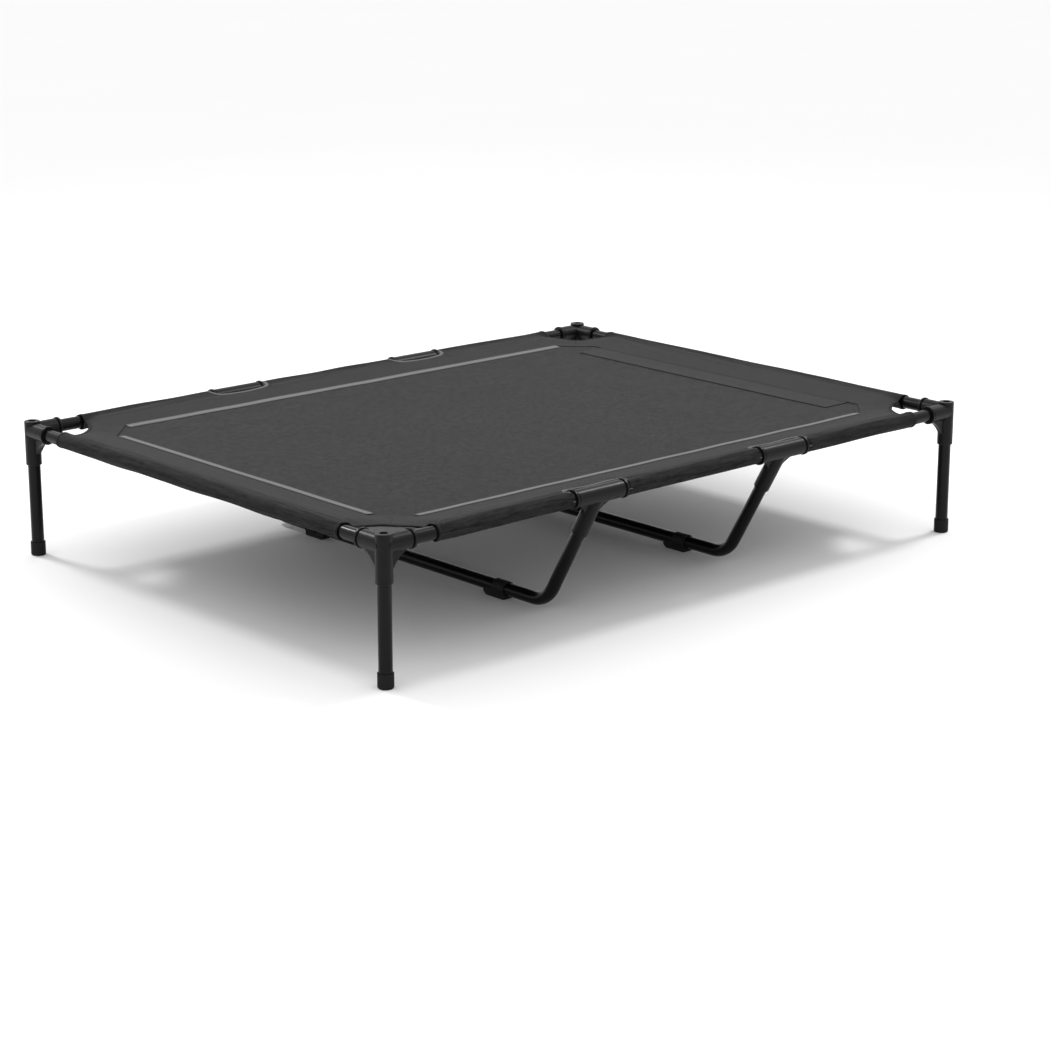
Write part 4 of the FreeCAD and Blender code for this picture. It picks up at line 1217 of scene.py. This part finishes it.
class DOGBED_OT_stage(Operator):
    """Set the pale floor, the soft studio light and the camera"""

    bl_idname = "dogbed.stage"
    bl_label = "Stage"
    bl_options = {"REGISTER", "UNDO"}

    def execute(self, context):
        settings = context.scene.dog_bed_stage
        self.floor()
        self.surround(context, settings)
        self.lamp(context, "right_light", settings.right)
        self.lamp(context, "back_light", settings.back)
        self.camera(context, settings)
        context.scene.view_settings.view_transform = "Standard"
        return {"FINISHED"}

    def floor(self):
        """A wide round floor: rings whose radius grows as the square of their number."""
        rings, turns = 40, 96
        radius = FLOOR_RADIUS * (np.arange(rings + 1) / rings) ** 2
        angle = np.arange(turns) * 2 * math.pi / turns
        points = np.stack([np.outer(radius, np.cos(angle)), np.outer(radius, np.sin(angle)),
                           np.zeros((rings + 1, turns))], axis=-1)
        shade = Finish("studio_floor")
        patch = shade.noise(shade.place(), 1.2, 2.0)
        finish = shade.finish(
            Base_Color=shade.tones(patch, colours().floor, 0.99, 1.01),
            Roughness=0.9,
            Specular_IOR_Level=0.1)
        faces = grid_faces(rings + 1, turns, wrap_rows=True).tolist()
        new_object("floor", points, faces, finish, merge=True)

    def surround(self, context, settings):
        """A white surround that brightens smoothly from the horizon to overhead."""
        world = bpy.data.worlds.new("surround")
        world.use_nodes = True
        nodes = Nodes(world.node_tree)
        upward = nodes.axes(nodes.node("ShaderNodeTexCoord"))[2].step(-0.1, 0.9)
        background = world.node_tree.nodes["Background"]
        nodes.feed(background.inputs["Color"], (1, 1, 1, 1))
        nodes.feed(background.inputs["Strength"],
                   settings.horizon + upward * (settings.sky - settings.horizon))
        context.scene.world = world

    def lamp(self, context, name, power):
        """A soft square light that faces its own point."""
        place, target = LAMPS[name]
        light = bpy.data.lights.new(name, "AREA")
        light.size = LAMP_SIZE
        light.energy = power
        lamp = bpy.data.objects.new(name, light)
        lamp.location = place
        lamp.rotation_euler = (Vector(target) - Vector(place)).to_track_quat("-Z", "Y").to_euler()
        context.scene.collection.objects.link(lamp)

    def camera(self, context, settings):
        """The camera: it looks against the direction given by its turn and its lift."""
        turn, lift = settings.camera_turn, settings.camera_lift
        back = Vector((math.sin(turn) * math.cos(lift), -math.cos(turn) * math.cos(lift),
                       math.sin(lift)))
        data = bpy.data.cameras.new("camera")
        data.lens = settings.lens
        data.sensor_width = SENSOR_WIDTH
        camera = bpy.data.objects.new("camera", data)
        camera.location = settings.camera_place
        camera.rotation_euler = (-back).to_track_quat("-Z", "Y").to_euler()
        context.scene.collection.objects.link(camera)
        context.scene.camera = camera


STEPS = (DOGBED_OT_connectors, DOGBED_OT_tubes, DOGBED_OT_feet, DOGBED_OT_fasteners,
         DOGBED_OT_bands, DOGBED_OT_centre, DOGBED_OT_tapes, DOGBED_OT_flap, DOGBED_OT_seams,
         DOGBED_OT_stage)


class DOGBED_PT_sidebar(Panel):
    """Lists the steps of making the bed, and the sizes and colours they use"""

    bl_idname = "DOGBED_PT_sidebar"
    bl_label = "Dog Bed"
    bl_space_type = "VIEW_3D"
    bl_region_type = "UI"
    bl_category = "Dog Bed"

    def draw(self, context):
        for step in STEPS:
            self.layout.operator(step.bl_idname)
        for group in (cover(), colours(), context.scene.dog_bed_stage):
            box = self.layout.box()
            for name in group.__annotations__:
                box.prop(group, name)


GROUPS = {
    "dog_bed_cover": DogBedCoverSizes,
    "dog_bed_colours": DogBedColours,
    "dog_bed_stage": DogBedStageSettings,
}


def register():
    """Register the sizes, the colours, the steps and the sidebar."""
    for name, group in GROUPS.items():
        bpy.utils.register_class(group)
        setattr(bpy.types.Scene, name, PointerProperty(type=group))
    for item in (*STEPS, DOGBED_PT_sidebar):
        bpy.utils.register_class(item)


def unregister():
    """Undo register."""
    for item in reversed((*STEPS, DOGBED_PT_sidebar)):
        bpy.utils.unregister_class(item)
    for name, group in GROUPS.items():
        delattr(bpy.types.Scene, name)
        bpy.utils.unregister_class(group)


def main():
    """Register everything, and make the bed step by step."""
    register()
    bpy.ops.dogbed.connectors()
    bpy.ops.dogbed.tubes()
    bpy.ops.dogbed.feet()
    bpy.ops.dogbed.fasteners()
    bpy.ops.dogbed.bands()
    bpy.ops.dogbed.centre()
    bpy.ops.dogbed.tapes()
    bpy.ops.dogbed.flap()
    bpy.ops.dogbed.seams()
    bpy.ops.dogbed.stage()


if __name__ == "__main__":
    main()
